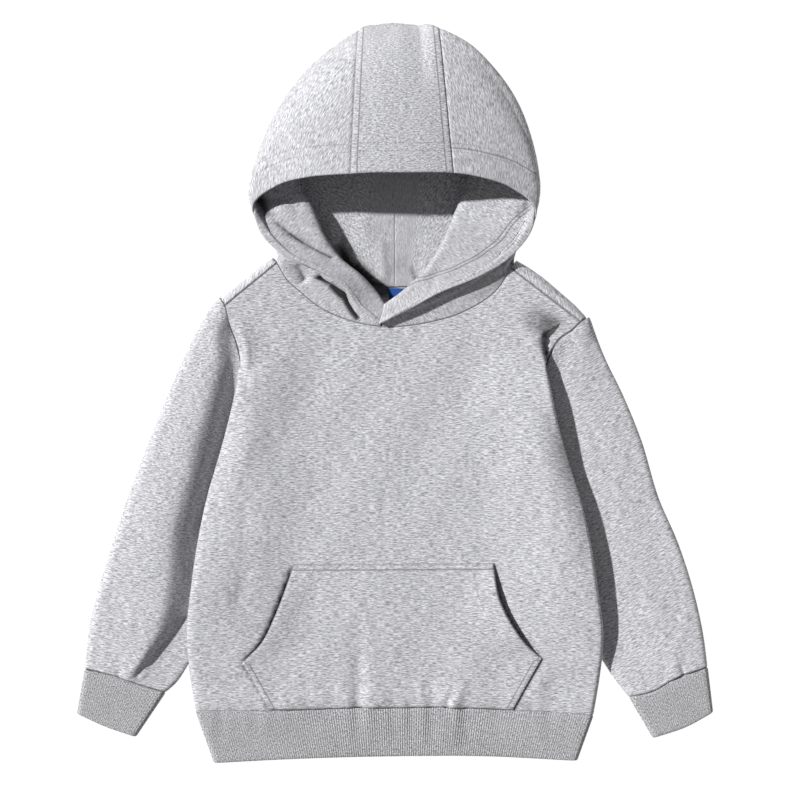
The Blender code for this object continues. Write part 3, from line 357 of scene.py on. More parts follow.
# Ridges and troughs of the hood, in plan, each for a stretch of the sections' rows: first and last
# row, then the crease. Rows 3.5 to 8 are the layer inside the flaps, and rows from 10.4 on are the
# band above the neck.
HOOD_CREASES = (
    (3.6, 7.6, -107, 152, -54, 118, -2.4, 1.8, -3.4, -3.4),     # the turned hem on the right flap
    (3.6, 7.6, -104, 163, -62, 133, 3, 7, 2.2, 1.0),
    (3.6, 7.6, -111, 171, -84, 160, 4, 4.5, -3.5, -1.5),
    (3.6, 7.6, -96, 168, -70, 152, 3, 5, 1.8, 0.5),
    (9.9, 14, -67, 104.5, -44, 88, -1, 2.4, -4.0, -6.0),        # the hollow under the right flap
    (9.9, 14, -44, 88.5, -32, 68, -1, 2.2, -6.0, -3.0),
    (10.4, 14, -86, 113, -80, 99, 1, 5, -2.6, -3.4),
    (10.4, 14, 92, 112, 101, 127, 0, 2.0, -2.0, -3.0),
    (10.4, 14, 96, 108, 106, 121, 0, 1.6, -2.5, -2.0),
    (10.4, 14, 60, 92, 96, 112, 3, 6, 0.6, 1.6),
    (12.6, 14, 22, 99, 15, 113, 1, 2.2, -3.0, -1.5),            # gathers at the back's neck
    (12.6, 14, 27, 101, 24, 117, -1, 2.6, 2.2, 1.0),
    (12.6, 14, 11, 98, 9, 109, 0, 2.2, -1.6, -0.6),
    (12.6, 14, -22, 101, -38, 124, 2, 4, 3.2, 1.2),
    (12.6, 14, -34, 104, -52, 132, 2, 4, -3.8, -1.4),
    (12.6, 14, -46, 118, -58, 148, 2, 5, 3.2, 2.0),
    (12.6, 14, -52, 150, -44, 166, 0, 5, -3.0, -1.6),
    (12.6, 14, 38, 108, 52, 138, -2, 5, -2.6, -1.2),
    (12.6, 14, -8, 100, -12, 134, 1, 4, 1.8, 0.8),
    (12.6, 14, 2, 112, -30, 150, 6, 9, 2.0, 1.4),
    (12.6, 14, 26, 118, 8, 168, 5, 7, -1.8, -1.0),
    (3.6, 7.6, 30, 92, 52, 122, 3, 5, -1.2, -0.6),
)

# Painted shade in the deep folds of the hood. Each row: first and last row of the sections, and
# then from x, y to x, y; bow; half width; and how dark the painted shade is at the start and at the
# end, up to 1.
HOOD_PAINTED_SHADES = (
    (9.6, 14, -69, 103.5, -55, 95, -0.6, 1.8, 0.8, 1.0),        # the slit under the right flap
    (9.6, 14, -57, 96.5, -45, 85.5, -0.6, 3.0, 1.0, 1.0),
    (9.6, 14, -46, 87, -33, 66, -1.0, 2.2, 1.0, 0.8),
    (9.6, 14, -88, 113, -80, 100, 1, 3.0, 0.25, 0.5),           # the hollow beside it
    (9.6, 14, -96, 116, -80, 103, 0, 7.0, 0.12, 0.2),
    (9.6, 14, 66, 84, 100, 108, -3, 3.0, 0.1, 0.2),
    (9.6, 14, 92, 112, 101, 127, 0, 1.6, 0.3, 0.55),
    (9.6, 14, 96, 108, 106, 121, 0, 1.4, 0.3, 0.4),
    (12.6, 14.5, -52, 132, -42, 112, 2, 5.5, 0.35, 0.85),       # the dark edge of the inside
    (12.6, 14.5, -46, 114, -20, 94, 3, 6.0, 0.9, 0.9),
    (12.6, 14.5, -28, 98, -4, 87, 2, 5.0, 0.9, 0.7),
    (12.6, 14.5, 20, 98, 14, 112, 1, 2.0, 0.4, 0.2),
    (12.6, 14.5, 34, 100, 50, 138, -2, 3.0, 0.4, 0.15),
    (12.6, 14.5, -30, 108, -46, 138, 3, 2.4, 0.4, 0.2),
    (3.4, 7.8, -105, 151, -54, 118, -2.4, 1.4, 0.6, 0.6),       # the line of the turned hem
    (3.4, 7.8, -92, 139.5, -80, 131.5, 0, 2.2, 0.6, 0.6),
    (3.4, 7.8, -120, 172, -112, 156, 1, 5.0, 0.75, 0.5),        # the dark corner of the opening
    (3.4, 7.8, 116, 166, 106, 152, -1, 3.0, 0.45, 0.2),
)

# Resolution of the pieces: the widest step between two points of the cloth, the places of two more
# points close to each edge, and the points from rib to rib.
STEP = 2.4
EDGE_STEPS = (0.35, 1.0)
RIB_SAMPLES = 5


# ---------------------------------------------------------------- curves and surfaces

def cubic(f, span, low, high, slope_low, slope_high):
    """The cubic from low to high over a span, with those slopes at its ends, read at a share."""
    return ((2 * f**3 - 3 * f**2 + 1) * low + (f**3 - 2 * f**2 + f) * span * slope_low
            + (3 * f**2 - 2 * f**3) * high + (f**3 - f**2) * span * slope_high)


def smooth(rows, at):
    """A smooth curve through the rows, read at values of the rows' first column.

    Between two rows it is the cubic whose slopes at the rows are the table's own slopes.
    """
    table = np.asarray(rows, float)
    key, value = table[:, 0], table[:, 1:]
    slope = np.gradient(value, key, axis=0)
    at = np.asarray(at, float)
    i = np.clip(np.searchsorted(key, at, side="right") - 1, 0, len(key) - 2)
    span = (key[i + 1] - key[i])[..., None]
    f = np.clip((at - key[i])[..., None] / span, 0, 1)
    return cubic(f, span, value[i], value[i + 1], slope[i], slope[i + 1])


def at_side(table, x, y):
    """A table's first value at y, for the side that x lies on."""
    right, left = (smooth(table[side], y)[..., 0] for side in ("right", "left"))
    return np.where(x < 0, right, left)


def along(points, shares):
    """Points on the smooth curve through the given ones, at shares of its length."""
    points = np.asarray(points, float)
    chord = np.linalg.norm(np.diff(points, axis=0), axis=1)
    key = np.concatenate([[0], np.cumsum(chord)]) / chord.sum()
    return smooth(np.column_stack([key, points]), shares)


def chain(curves, cuts, shares):
    """Several curves end to end, each over its own stretch between the cuts, 0 and 1."""
    shares = np.asarray(shares, float)
    bounds = (0, *cuts, 1)
    out = along(curves[0], shares / bounds[1])
    for curve, low, high in zip(curves[1:], bounds[1:], bounds[2:]):
        own = along(curve, (shares - low) / (high - low))
        out = np.where((shares >= low)[..., None], own, out)
    return out


def rise(value, low, high):
    """0 up to low, 1 from high on, and a smooth rise between."""
    f = np.clip((value - low) / (high - low), 0, 1)
    return f * f * (3 - 2 * f)


def plateau(value, up, down):
    """A smooth rise from 0 to 1 over the pair up, and a smooth fall to 0 over the pair down."""
    return rise(value, *up) * (1 - rise(value, *down))


def quarter_circle(far, reach):
    """0 at 0, 1 from reach on, and a quarter circle between."""
    return np.sqrt(np.maximum(1 - (1 - np.clip(far / reach, 0, 1))**2, 0))


def patch(low, high, start, end, across, up):
    """A Coons patch: the blend of the two side curves and of the two end curves, less the blend
    of the four corners, read at shares across and up."""
    a, u = across[..., None], up[..., None]
    zero, one = np.zeros(1), np.ones(1)
    sides = (1 - a) * start(up) + a * end(up)
    ends = (1 - u) * low(across) + u * high(across)
    corners = ((1 - u) * ((1 - a) * low(zero) + a * low(one))
               + u * ((1 - a) * high(zero) + a * high(one)))
    return sides + ends - corners


def unit(vectors):
    """Each vector at length 1."""
    return vectors / np.maximum(np.linalg.norm(vectors, axis=-1, keepdims=True), 1e-9)


def normals(grid, ring=False):
    """Unit normals of a grid of points: the cross product of its two directions."""
    if ring:
        round_it = np.roll(grid, -1, axis=1) - np.roll(grid, 1, axis=1)
    else:
        round_it = np.gradient(grid, axis=1)
    return unit(np.cross(round_it, np.gradient(grid, axis=0)))


def refined(rows, step, key=None):
    """The rows with more between them, so that neighbours differ by at most a step in the key."""
    rows = np.asarray(rows, float)
    key = rows if key is None else np.asarray(key, float)
    pieces = np.maximum(np.ceil(np.abs(np.diff(key)) / step - 1e-6), 1).astype(int)
    parts = [np.linspace(a, b, n, endpoint=False) for a, b, n in zip(rows, rows[1:], pieces)]
    return np.concatenate([*parts, rows[-1:]])


def with_edges(values, steps=EDGE_STEPS):
    """The values with a few more close to both ends, so that the cloth can round off there."""
    values = np.asarray(values, float)
    near = values[0] + np.sign(values[-1] - values[0]) * np.array(steps)
    far = values[-1] - np.sign(values[-1] - values[0]) * np.array(steps[::-1])
    return np.concatenate([values[:1], near, values[1:-1], far, values[-1:]])


def even_rows(shares, length):
    """Shares of a length, in millimetres, with others between them and close to both ends."""
    return with_edges(refined(shares, STEP / length), [step / length for step in EDGE_STEPS])


def travelled(grid, axis):
    """How far each point of a grid lies along an axis from the grid's first line."""
    step = np.linalg.norm(np.diff(grid, axis=axis), axis=-1)
    first = np.zeros_like(np.take(step, [0], axis=axis))
    return np.cumsum(np.concatenate([first, step], axis=axis), axis=axis)


def from_end(grid, axis):
    """How far each point of a grid lies along an axis from the grid's last line."""
    return np.flip(travelled(np.flip(grid, axis), axis), axis)


def from_ends(grid, axis):
    """How far each point of a grid lies from the nearer of its first and its last line."""
    return np.minimum(travelled(grid, axis), from_end(grid, axis))


def crease(u, v, rows):
    """The sum of soft ridges along bowed lines, each a bell across and faded out at its ends.

    A row is: from u, v to u, v; bow; half width; height at the start and at the end.
    """
    total = np.zeros_like(u)
    for u0, v0, u1, v1, bow, half, start, end in rows:
        way = np.array([u1 - u0, v1 - v0], float)
        length = np.linalg.norm(way)
        way = way / length
        share = ((u - u0) * way[0] + (v - v0) * way[1]) / length
        off = -(u - u0) * way[1] + (v - v0) * way[0] - bow * 4 * share * (1 - share)
        inside = np.clip(share, 0, 1)
        fade = plateau(share, (-0.5 * half / length, 0.15), (1.0, 1.0 + half / length))
        total += (start + (end - start) * inside) * fade * np.exp(-(off / half)**2)
    return total


def swell(u, v, seed, length, height):
    """Gentle unevenness: a sum of eight sine waves of random direction, about length apart."""
    random = np.random.default_rng(seed)
    angle, phase = random.uniform(0, np.pi, 8), random.uniform(0, 2 * np.pi, 8)
    pitch = length * random.uniform(0.7, 1.8, 8)
    waves = [np.sin(2 * np.pi * (u * np.cos(a) + v * np.sin(a)) / p + q)
             for a, p, q in zip(angle, pitch, phase)]
    return height * sum(waves) / 3


# ---------------------------------------------------------------- cloth meshes

# How far a wall's edge stands out, as a share of the wall's thickness.
EDGE_BULGE = 0.38


def rim(top, way, thick, grid_line, inner_line):
    """The middle of the rounded edge along one line of a wall: out from the line beside it."""
    out = unit(grid_line - inner_line)
    return (top - way * thick[..., None] / 2) + out * thick[..., None] * EDGE_BULGE


def quads(index):
    """The corners of each cell of a grid of indices."""
    cells = [index[:-1, :-1], index[:-1, 1:], index[1:, 1:], index[1:, :-1]]
    return np.stack(cells, -1).reshape(-1, 4)


def added(name, mesh, material):
    """A finished mesh as a piece of the garment."""
    mesh.shade_smooth()
    mesh.materials.append(material)
    piece = bpy.data.objects.new(name, mesh)
    bpy.context.collection.objects.link(piece)
    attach(piece, BODY)
    return piece


def cloth(name, grid, below, above, spread, lines, material, ring=False, way=None,
          painted_shade=(0.0, 0.0)):
    """A wall of cloth with rounded edges between two offsets of a grid along its normals.

    spread is each point's place in the flat cloth, in millimetres, for the weave. lines holds up to
    three signed distances from seams and stitch lines, at which the material draws its grooves, and
    the last argument is how deep in a fold the lower and the upper face lie, from 0 to 1, which the
    material paints as shade, kept in the attribute "depth".
    """
    rows, columns = grid.shape[:2]
    way = normals(grid, ring) if way is None else way
    below, above = (np.broadcast_to(offset, (rows, columns)) for offset in (below, above))
    under, over = grid + way * below[..., None], grid + way * above[..., None]
    thick = above - below

    index = np.arange(rows * columns).reshape(rows, columns)
    if ring:
        index = np.column_stack([index, index[:, 0]])
    wide = index.shape[1]
    count = rows * columns
    corner = np.arange(rows * wide).reshape(rows, wide)
    points = [under.reshape(-1, 3), over.reshape(-1, 3)]

    faces = [quads(index), quads(index + count)[:, ::-1]]
    tags = [quads(corner), quads(corner)[:, ::-1]]

    def edge(line, beside, flip):
        """Two strips that close the wall along a line of the grid, over a rounded middle."""
        middle = rim(*(flat_at(a, line) for a in (over, way, thick, grid)), flat_at(grid, beside))
        start = sum(len(p) for p in points)
        points.append(middle)
        mid = start + np.arange(len(line))
        tag = corner_of(line)
        for first, second in ((line, mid), (mid, line + count)):
            strip = np.stack([first[:-1], first[1:], second[1:], second[:-1]], -1)
            mark = np.stack([tag[:-1], tag[1:], tag[1:], tag[:-1]], -1)
            faces.append(strip[:, ::-1] if flip else strip)
            tags.append(mark[:, ::-1] if flip else mark)

    def flat_at(array, at):
        return array.reshape(-1, *array.shape[2:])[at]

    def corner_of(line):
        row, column = line // columns, line % columns
        tag = row * wide + column
        if ring:
            tag = tag.copy()
            tag[-1] = row[-1] * wide + columns
        return tag

    for row, beside, flip in ((0, 1, True), (rows - 1, rows - 2, False)):
        edge(index[row], index[beside], flip)
    if not ring:
        for column, beside, flip in ((0, 1, False), (columns - 1, columns - 2, True)):
            edge(index[:, column], index[:, beside], flip)

    points = np.concatenate(points)
    faces, tags = np.concatenate(faces), np.concatenate(tags)
    middle = points.mean(axis=0)
    a, b, c, d = (points[faces[:, i]] - middle for i in range(4))
    volume = np.einsum("ij,ij->", a, np.cross(b, c)) + np.einsum("ij,ij->", a, np.cross(c, d))
    if volume < 0:
        faces, tags = faces[:, ::-1], tags[:, ::-1]

    mesh = bpy.data.meshes.new(name)
    mesh.vertices.add(len(points))
    mesh.vertices.foreach_set("co", (points * METRE).ravel())
    mesh.loops.add(faces.size)
    mesh.loops.foreach_set("vertex_index", faces.ravel())
    mesh.polygons.add(len(faces))
    mesh.polygons.foreach_set("loop_start", np.arange(0, faces.size, 4))
    mesh.update(calc_edges=True)
    spread = np.asarray(spread, float).reshape(-1, 2)[tags.ravel()]
    mesh.uv_layers.new(name="cloth").data.foreach_set("uv", (spread * METRE).ravel())
    field = mesh.attributes.new("lines", "FLOAT_VECTOR", "CORNER")
    lines = np.asarray(lines, float)
    if ring:
        lines = np.concatenate([lines, lines[:, :1]], 1)
    field.data.foreach_set("vector", lines.reshape(-1, 3)[tags.ravel()].ravel())
    # Painted shade of each face at its corners, in the attribute "depth".
    closing = ((0, 0), (0, wide - columns))
    low, high = (np.pad(np.broadcast_to(d, (rows, columns)), closing).ravel() for d in painted_shade)
    is_low = np.arange(len(tags))[:, None] < (rows - 1) * (wide - 1)
    depth = np.where(is_low, low[tags], high[tags])
    field = mesh.attributes.new("depth", "FLOAT_VECTOR", "CORNER")
    field.data.foreach_set("vector", np.repeat(depth.ravel(), 3))
    mesh.validate()
    return added(name, mesh, material)


# A distance at which no line is drawn.
FAR = 99.0


def pair(far, first, second):
    """A field that is 0 along two lines, at two distances, and changes its sign at both."""
    return np.minimum(far - first, second - far)


def three(*fields, like):
    """Up to three fields of signed distances as one, with the missing ones far away."""
    fields = (*fields, *[FAR] * (3 - len(fields)))
    return np.stack([np.broadcast_to(f, like.shape[:2]) for f in fields], -1)


# ---------------------------------------------------------------- stitches

# One stitch lies along x: shares of its half length, of its radius, and its arch.
STITCH_RINGS = ((-1.0, 0.0, -1.4), (-0.86, 0.8, -0.5), (-0.4, 1.0, 0.35), (0.4, 1.0, 0.35),
                (0.86, 0.8, -0.5), (1.0, 0.0, -1.4))
STITCH_SIDES = 4


def line_on(face, way, distance):
    """The path on a face that lies at a distance from the face's first row, and its normals."""
    far = travelled(face, 0)
    distance = np.broadcast_to(distance, far.shape[1:])
    after = np.clip((far < distance).sum(axis=0), 1, len(face) - 1)
    take = lambda a, i: np.take_along_axis(a, i[None, :, None], 0)[0]
    low = np.take_along_axis(far, after[None] - 1, 0)[0]
    high = np.take_along_axis(far, after[None], 0)[0]
    f = ((distance - low) / np.maximum(high - low, 1e-9))[:, None]
    return (take(face, after - 1) * (1 - f) + take(face, after) * f,
            unit(take(way, after - 1) * (1 - f) + take(way, after) * f))


def stitches(name, paths, material, settings):
    """Rows of stitches, one small arched thread each, evenly spaced along every path."""
    rings = np.array(STITCH_RINGS)
    turn = np.linspace(0, 2 * np.pi, STITCH_SIDES, endpoint=False)
    t = np.repeat(rings[:, 0], STITCH_SIDES)
    side = (rings[:, 1:2] * np.cos(turn)).ravel()
    up = (rings[:, 1:2] * np.sin(turn)).ravel() * 0.8 + np.repeat(rings[:, 2], STITCH_SIDES)
    index = np.arange(len(t)).reshape(len(rings), STITCH_SIDES)
    index = np.column_stack([index, index[:, 0]])
    cells = np.roll(quads(index)[:, ::-1], 1, axis=1)
    pitch, length = settings.stitch_pitch * 1000, settings.stitch_length * 1000
    radius = settings.thread * 500
    points, faces, count = [], [], 0
    for path, way in paths:
        step = np.linalg.norm(np.diff(path, axis=0), axis=1)
        far = np.concatenate([[0], np.cumsum(step)])
        centres = np.arange(pitch * 0.6, far[-1] - pitch * 0.5, pitch)
        if not len(centres):
            continue
        read = lambda a, s: np.stack([np.interp(s, far, a[:, i]) for i in range(3)], -1)
        centre, normal = read(path, centres), unit(read(way, centres))
        forward = unit(read(path, centres + 0.4 * pitch) - read(path, centres - 0.4 * pitch))
        across = unit(np.cross(normal, forward))
        normal = np.cross(forward, across)
        body = (centre[:, None] + forward[:, None] * (t * length / 2)[:, None]
                + across[:, None] * (side * radius)[:, None]
                + normal[:, None] * (up * radius)[:, None])
        shift = count + np.arange(len(centres))[:, None, None] * len(t)
        points.append(body.reshape(-1, 3))
        faces.append((cells[None] + shift).reshape(-1, 4))
        count += len(centres) * len(t)
    points, faces = np.concatenate(points), np.concatenate(faces)
    mesh = bpy.data.meshes.new(name)
    mesh.from_pydata((points * METRE).tolist(), [], faces.tolist())
    return added(name, mesh, material)


# ---------------------------------------------------------------- the body

def armhole_foot(side):
    """The y at which the armhole seam comes out from under the body's edge."""
    return ARMHOLE_SEAM[side][0][0]


def body_edge(x, y):
    """The body's half width at y, on the side that x lies on."""
    return at_side(BODY_EDGE, x, y)


def plain_height(x, y):
    """Height of the front without its creases: low along the middle, higher over the sleeves."""
    middle, edge = np.moveaxis(smooth(FRONT_HEIGHT, y), -1, 0)
    edge = edge + LEFT_EDGE_LIFT * plateau(y, (-290, -200), (-5, 40)) * (np.asarray(x) > 0)
    return middle + (edge - middle) * rise(np.abs(x) / body_edge(x, y), 0.45, 0.93)


def armhole_drop(x, y):
    """How far the front drops beyond the fold line that runs down to the left armhole."""
    rows = np.array(ARMHOLE_DROP, float)[::-1]
    line, drop = np.moveaxis(smooth(rows[:, [1, 0, 2]], y), -1, 0)
    drop = np.where((y > rows[0, 1]) & (y < rows[-1, 1]), np.maximum(drop, 0), 0)
    below = -shoulder_section("left", x, y)[0]
    return drop * rise(x - line, -0.4, 2.8) * rise(below, 5, 18)


def pocket_edge(y, side):
    """Distance from the middle to the pocket's opening at y."""
    rows = sorted((q, abs(p)) for p, q in POCKET_SIDE[side][1:])
    return smooth(rows, y)[..., 0]


def pocket_mouth(x, y):
    """How far the front sinks along the pocket's two openings."""
    total = np.zeros_like(x)
    for side, way in SIDES.items():
        low, high = POCKET_SIDE[side][1][1], POCKET_SIDE[side][-1][1]
        far = x * way - pocket_edge(y, side)
        opening = plateau(y, (low - 2, low + 22), (high - 22, high + 2))
        reach = np.where(far > 0, POCKET_MOUTH_REACH[side], POCKET_MOUTH_INSIDE)
        total -= POCKET_MOUTH[side] * opening * np.exp(-(far / reach)**2) * (x * way > 0)
    return total


def to_top_seams(x, y):
    """0 up to 8 mm below the shoulder seams and the neck, and 1 from 40 mm below them on."""
    below = np.minimum(-shoulder_section("right", x, y)[0], -shoulder_section("left", x, y)[0])
    return rise(below, 8, 40) * (1 - rise(y, 42, 62) * (1 - rise(np.abs(x), 60, 110)))


def relief(x, y):
    """The front's creases, its gathers above the hem band, its gentle unevenness and the way it
    dips to the armhole seams."""
    hem = np.interp(x, *np.transpose(HEM_SEAM))
    above = np.maximum(y - hem, 0)
    gather = swell(x, y * 0.15, 4, 17, 0.8) * np.exp(-above / 16)
    puff = 1.3 * np.exp(-((above - 9) / 8)**2)
    inside = 1 - rise(np.abs(x) / body_edge(x, y), 0.9, 1.0)
    rows = BODY_EDGE["right"] + ARMHOLE_SEAM["right"][1:]
    near = 1 - rise(smooth(rows, y)[..., 0] - np.abs(x), 0, 8)
    dip = 8.5 * near * plateau(y, (0, 34), (50, 74)) * (x < 0)
    wave = (crease(x, y, FRONT_CREASES) + swell(x, y, 7, 75, 0.7)) * to_top_seams(x, y)
    return wave + (gather + puff) * inside - armhole_drop(x, y) * (x > 0) - dip


def front_painted_shade(x, y):
    """Painted shade of the front: in its folds, and beside the pocket's openings and lower sides.
    """
    painted_dark = crease(x, y, FRONT_PAINTED_SHADES)
    for side, way in SIDES.items():
        (x0, y0), (x1, y1) = POCKET_SIDE[side][:2]
        top = POCKET_SIDE[side][-1][1]
        far = x * way - pocket_edge(y, side)
        opening = plateau(y, (y1 - 3, y1 + 4), (top - 3, top + 1))
        bulge = 0.6 + 0.4 * plateau(y, (y1, y1 + 14), (top - 20, top))
        line = np.exp(-((far - 1.4) / 2.2)**2) * (far > -3)
        painted_dark = np.maximum(painted_dark, POCKET_PAINTED_SHADE[side] * bulge * opening * line)
        side_x = abs(x0) + (abs(x1) - abs(x0)) * (y - y0) / (y1 - y0)
        low = plateau(y, (y0 - 2, y0 + 1), (y1 - 2, y1 + 2))
        line = np.exp(-((x * way - side_x - 1.0) / 1.3)**2)
        painted_dark = np.maximum(painted_dark, POCKET_LOW_PAINTED_SHADE * low * line)
    return np.minimum(FRONT_PAINTED_SHADE_GAIN * painted_dark, 1)


def back_painted_shade(x, y):
    """Painted shade of the back in the dark between the hood's flaps."""
    at_x, at_y, wide, long = NECK_PAINTED_SHADE
    far = np.hypot((x - at_x) / wide, (y - at_y) / long)
    return NECK_PAINTED_SHADE_DEPTH * (1 - rise(far, 0.6, 1.2))


def front_height(x, y):
    """Height of the front with its creases, but without its dips along the pocket's openings."""
    return plain_height(x, y) + relief(x, y)


def edge_section(x, y):
    """The rounded edge at (x, y): its roll, heights above and below, and quarter arc's length."""
    roll = at_side(EDGE_ROLL, x, y)
    high = front_height(np.sign(x) * (body_edge(x, y) - roll), y)
    low = smooth(UNDER_HEIGHT, y)[..., 0]
    half = np.maximum((high - low) / 2, 0.05)
    return roll, high, low, np.pi / 2 * np.sqrt((roll**2 + half**2) / 2)


def turned_under(side, y):
    """Width of the front's cloth that turns under past the body's edge at y."""
    return np.where(y < armhole_foot(side), np.maximum(smooth(TURNED_UNDER, y)[..., 0], 0), 0)


def fold_side(flat, kept, way):
    """Bends flat cloth round the body's edge, where it lies near or past it.

    Within one arc of the edge the cloth follows a quarter ellipse to the edge and a second one
    beyond it, and then returns inwards. way is 1 for the front, which comes from above, and -1
    for the back.
    """
    x, y = flat[..., 0], flat[..., 1]
    roll, high, low, arc = edge_section(x, y)
    edge = body_edge(x, y)
    t = edge + (arc - roll) - np.abs(x)
    angle = np.clip(t / arc, -1, 1) * np.pi / 2
    inwards = np.where(np.abs(t) < arc, roll * (1 - np.cos(angle)), roll + np.abs(t) - arc)
    z = (high + low) / 2 + way * (high - low) / 2 * np.sin(angle)
    folded = np.stack([np.sign(x) * (edge - inwards), y, z], -1)
    foot = np.where(x < 0, armhole_foot("right"), armhole_foot("left"))
    return np.where(((y < foot) & (t < arc))[..., None], folded, kept)


# Columns near a side edge: how far from it, and how much of the cloth that turns under lies within.
EDGE_COLUMNS = ((0, 0), (0.4, 0.02), (1.3, 0.45), (2.6, 0.62), (4.2, 0.8), (6.8, 1), (11, 1))
EDGE_COLUMN_STEP = 2.2
# How far in the columns bend with the edge, and the steps between the middle ones.
EDGE_REACH = 108
BODY_COLUMN_STEP = 2.7 / 330


def panel(edge, head, top, corners, rows, middle, turned):
    """A body panel's flat cloth in plan, as a grid between its four edges.

    edge gives |x| of a side edge, head is the y at which it ends, and top are the curves from one
    side's head to the other's, which meet at the given shares of the middle columns. The grid is
    the blend of the hem and a line between the heads, to which the top's own shape is added as the
    cube of the height. Near a side it bends with that side's edge.
    """
    up = (np.asarray(rows, float) - rows[0]) / (rows[-1] - rows[0])

    def line(side):
        y = BODY_EDGE[side][0][0] * (1 - up) + head[side] * up
        return np.stack([SIDES[side] * edge(side, y), y], -1)

    right, left = line("right"), line("left")
    width = np.linalg.norm(left - right, axis=-1)[:, None]
    table = np.asarray(EDGE_COLUMNS, float)
    max_turned = max(width for _, width in TURNED_UNDER)
    apart, share = refined(table, EDGE_COLUMN_STEP, table[:, 0] + max_turned * table[:, 1]).T
    middle = refined(middle, BODY_COLUMN_STEP)
    near_right = apart + share * turned("right", right[:, 1])[:, None]
    near_left = apart + share * turned("left", left[:, 1])[:, None]
    first, last = near_right[:, -1:], width - near_left[:, -1:]
    inner = first + (last - first) * middle
    distance = np.concatenate([near_right, inner, width - near_left[:, ::-1]], 1)
    across = distance / width
    cuts = [across[-1, len(apart) + np.argmin(np.abs(middle - c))] for c in corners]
    hem = (right[0], *HEM_SEAM[1:-1], left[0])
    share, climb = across[..., None], up[:, None, None]
    heads = (1 - share) * right[-1] + share * left[-1]
    grid = (1 - climb) * along(hem, across) + climb * heads
    grid += climb**3 * (chain(top, cuts, across) - heads)
    for side, away, near in ((right, distance, first), (left, width - distance, width - last)):
        bend = side - ((1 - up[:, None]) * side[0] + up[:, None] * side[-1])
        grid += bend[:, None] * (1 - rise(away, near, near + EDGE_REACH))[..., None]
    return grid


FRONT_ROWS = (-277, -262, -238, -208, -178, -148, -122, -100, -78, -56, -34, -10, 14, 35, 48, 62,
              77)
FRONT_COLUMNS = (0.08, 0.15, 0.85, 0.92)
FOLD_REACH = 9
FRONT_CORNERS = (0.15, 0.85)


def front_edge(side, y):
    """Distance from the middle to the front's side edge, in the flat cloth."""
    outline = smooth(BODY_EDGE[side] + ARMHOLE_SEAM[side][1:], y)[..., 0]
    roll, _, _, arc = edge_section(SIDES[side] * np.ones_like(y), y)
    return outline + np.where(y < armhole_foot(side), arc - roll + turned_under(side, y), 0)


def bordered(flat):
    """The flat cloth with one more column past each side edge, for true slopes at the edges."""
    first, last = 2 * flat[:, :1] - flat[:, 1:2], 2 * flat[:, -1:] - flat[:, -2:-1]
    return np.concatenate([first, flat, last], 1)


def front_surface():
    """The front: flat cloth between the hem seam, the armholes and the neck, folded at its edges.

    Gives the flat cloth, the surface and its normals.
    """
    head = {side: ARMHOLE_SEAM[side][-1][0] for side in SIDES}
    top = (SHOULDER_SEAM["right"], FRONT_NECK, SHOULDER_SEAM["left"])
    rows = with_edges(refined(FRONT_ROWS, STEP))
    flat = bordered(panel(front_edge, head, top, FRONT_CORNERS, rows, FRONT_COLUMNS, turned_under))
    x, y = flat[..., 0], flat[..., 1]
    z = front_height(x, y) + pocket_mouth(x, y)
    kept = np.concatenate([flat, z[..., None]], -1)
    folded = fold_side(flat, kept, 1)
    grid = np.where((np.abs(x) < body_edge(x, y) - FOLD_REACH)[..., None], kept, folded)
    return flat[:, 1:-1], grid[:, 1:-1], normals(grid)[:, 1:-1]


def sleeve_fold_x(y):
    """Distance from the middle to the sleeve's fold under the body, the mean of both sides."""
    rows = sorted((p[1], (abs(p[0]) + abs(q[0])) / 2)
                  for p, q in zip(SLEEVE["right"]["inner"], SLEEVE["left"]["inner"]))
    return smooth(rows, y)[..., 0]


def back_height(x, y):
    """Height of the back: on the surface, and over the sleeve where that lies under it."""
    over = smooth(UNDER_HEIGHT, np.minimum(y, UNDERARM_Y))[..., 0] - HALF
    fold = sleeve_fold_x(y)
    return HALF + over * rise(np.abs(x), fold - 34, fold - 9) * rise(-y, 40, 54)


def shoulder_section(side, x, y):
    """The rounded shoulder near (x, y): how far the point lies beyond its fold, the way out of it,
    half the height of its arc and the quarter arc's length."""
    first, last, bow = SHOULDER_FOLD[side]
    first, last = np.array(first, float), np.array(last, float)
    way = unit(last - first)
    out = np.array([way[1], -way[0]])
    out = out if out[1] > 0 else -out
    offset = np.stack([x - first[0], y - first[1]], -1)
    share = np.clip(offset @ way / np.linalg.norm(last - first), 0, 1)
    ends = sorted(SHOULDER_SEAM[side], key=lambda p: abs(p[0]))
    neck, tip = (plain_height(np.float64(px), np.float64(py)) for px, py in ends)
    half = (neck + (tip - neck) * share - HALF) / 2
    arc = np.pi / 2 * np.sqrt((SHOULDER_ROLL**2 + half**2) / 2)
    return offset @ out - bow * 4 * share * (1 - share), out, half, arc


def fold_shoulder(flat, kept, side):
    """Bends the back's flat cloth up and forward round the shoulder's fold."""
    x, y = flat[..., 0], flat[..., 1]
    beyond, out, half, arc = shoulder_section(side, x, y)
    t = (arc - SHOULDER_ROLL) - beyond
    angle = np.clip(t / arc, -1, 1) * np.pi / 2
    inwards = np.where(np.abs(t) < arc, SHOULDER_ROLL * (1 - np.cos(angle)),
                       SHOULDER_ROLL + np.abs(t) - arc)
    place = flat - (beyond + inwards)[..., None] * out
    folded = np.concatenate([place, (HALF + half - half * np.sin(angle))[..., None]], -1)
    near = (t < arc) & (x * SIDES[side] > 0)
    return np.where(near[..., None], folded, kept)


def unfold_shoulder(point, side):
    """Where a point of the shoulder seam lies in the back's flat cloth, with the seam's gap."""
    x, y = np.asarray(point, float)
    beyond, out, _, arc = shoulder_section(side, x, y)
    return tuple(np.array([x, y]) + out * (2 * (arc - SHOULDER_ROLL) - 2 * beyond - GAP))


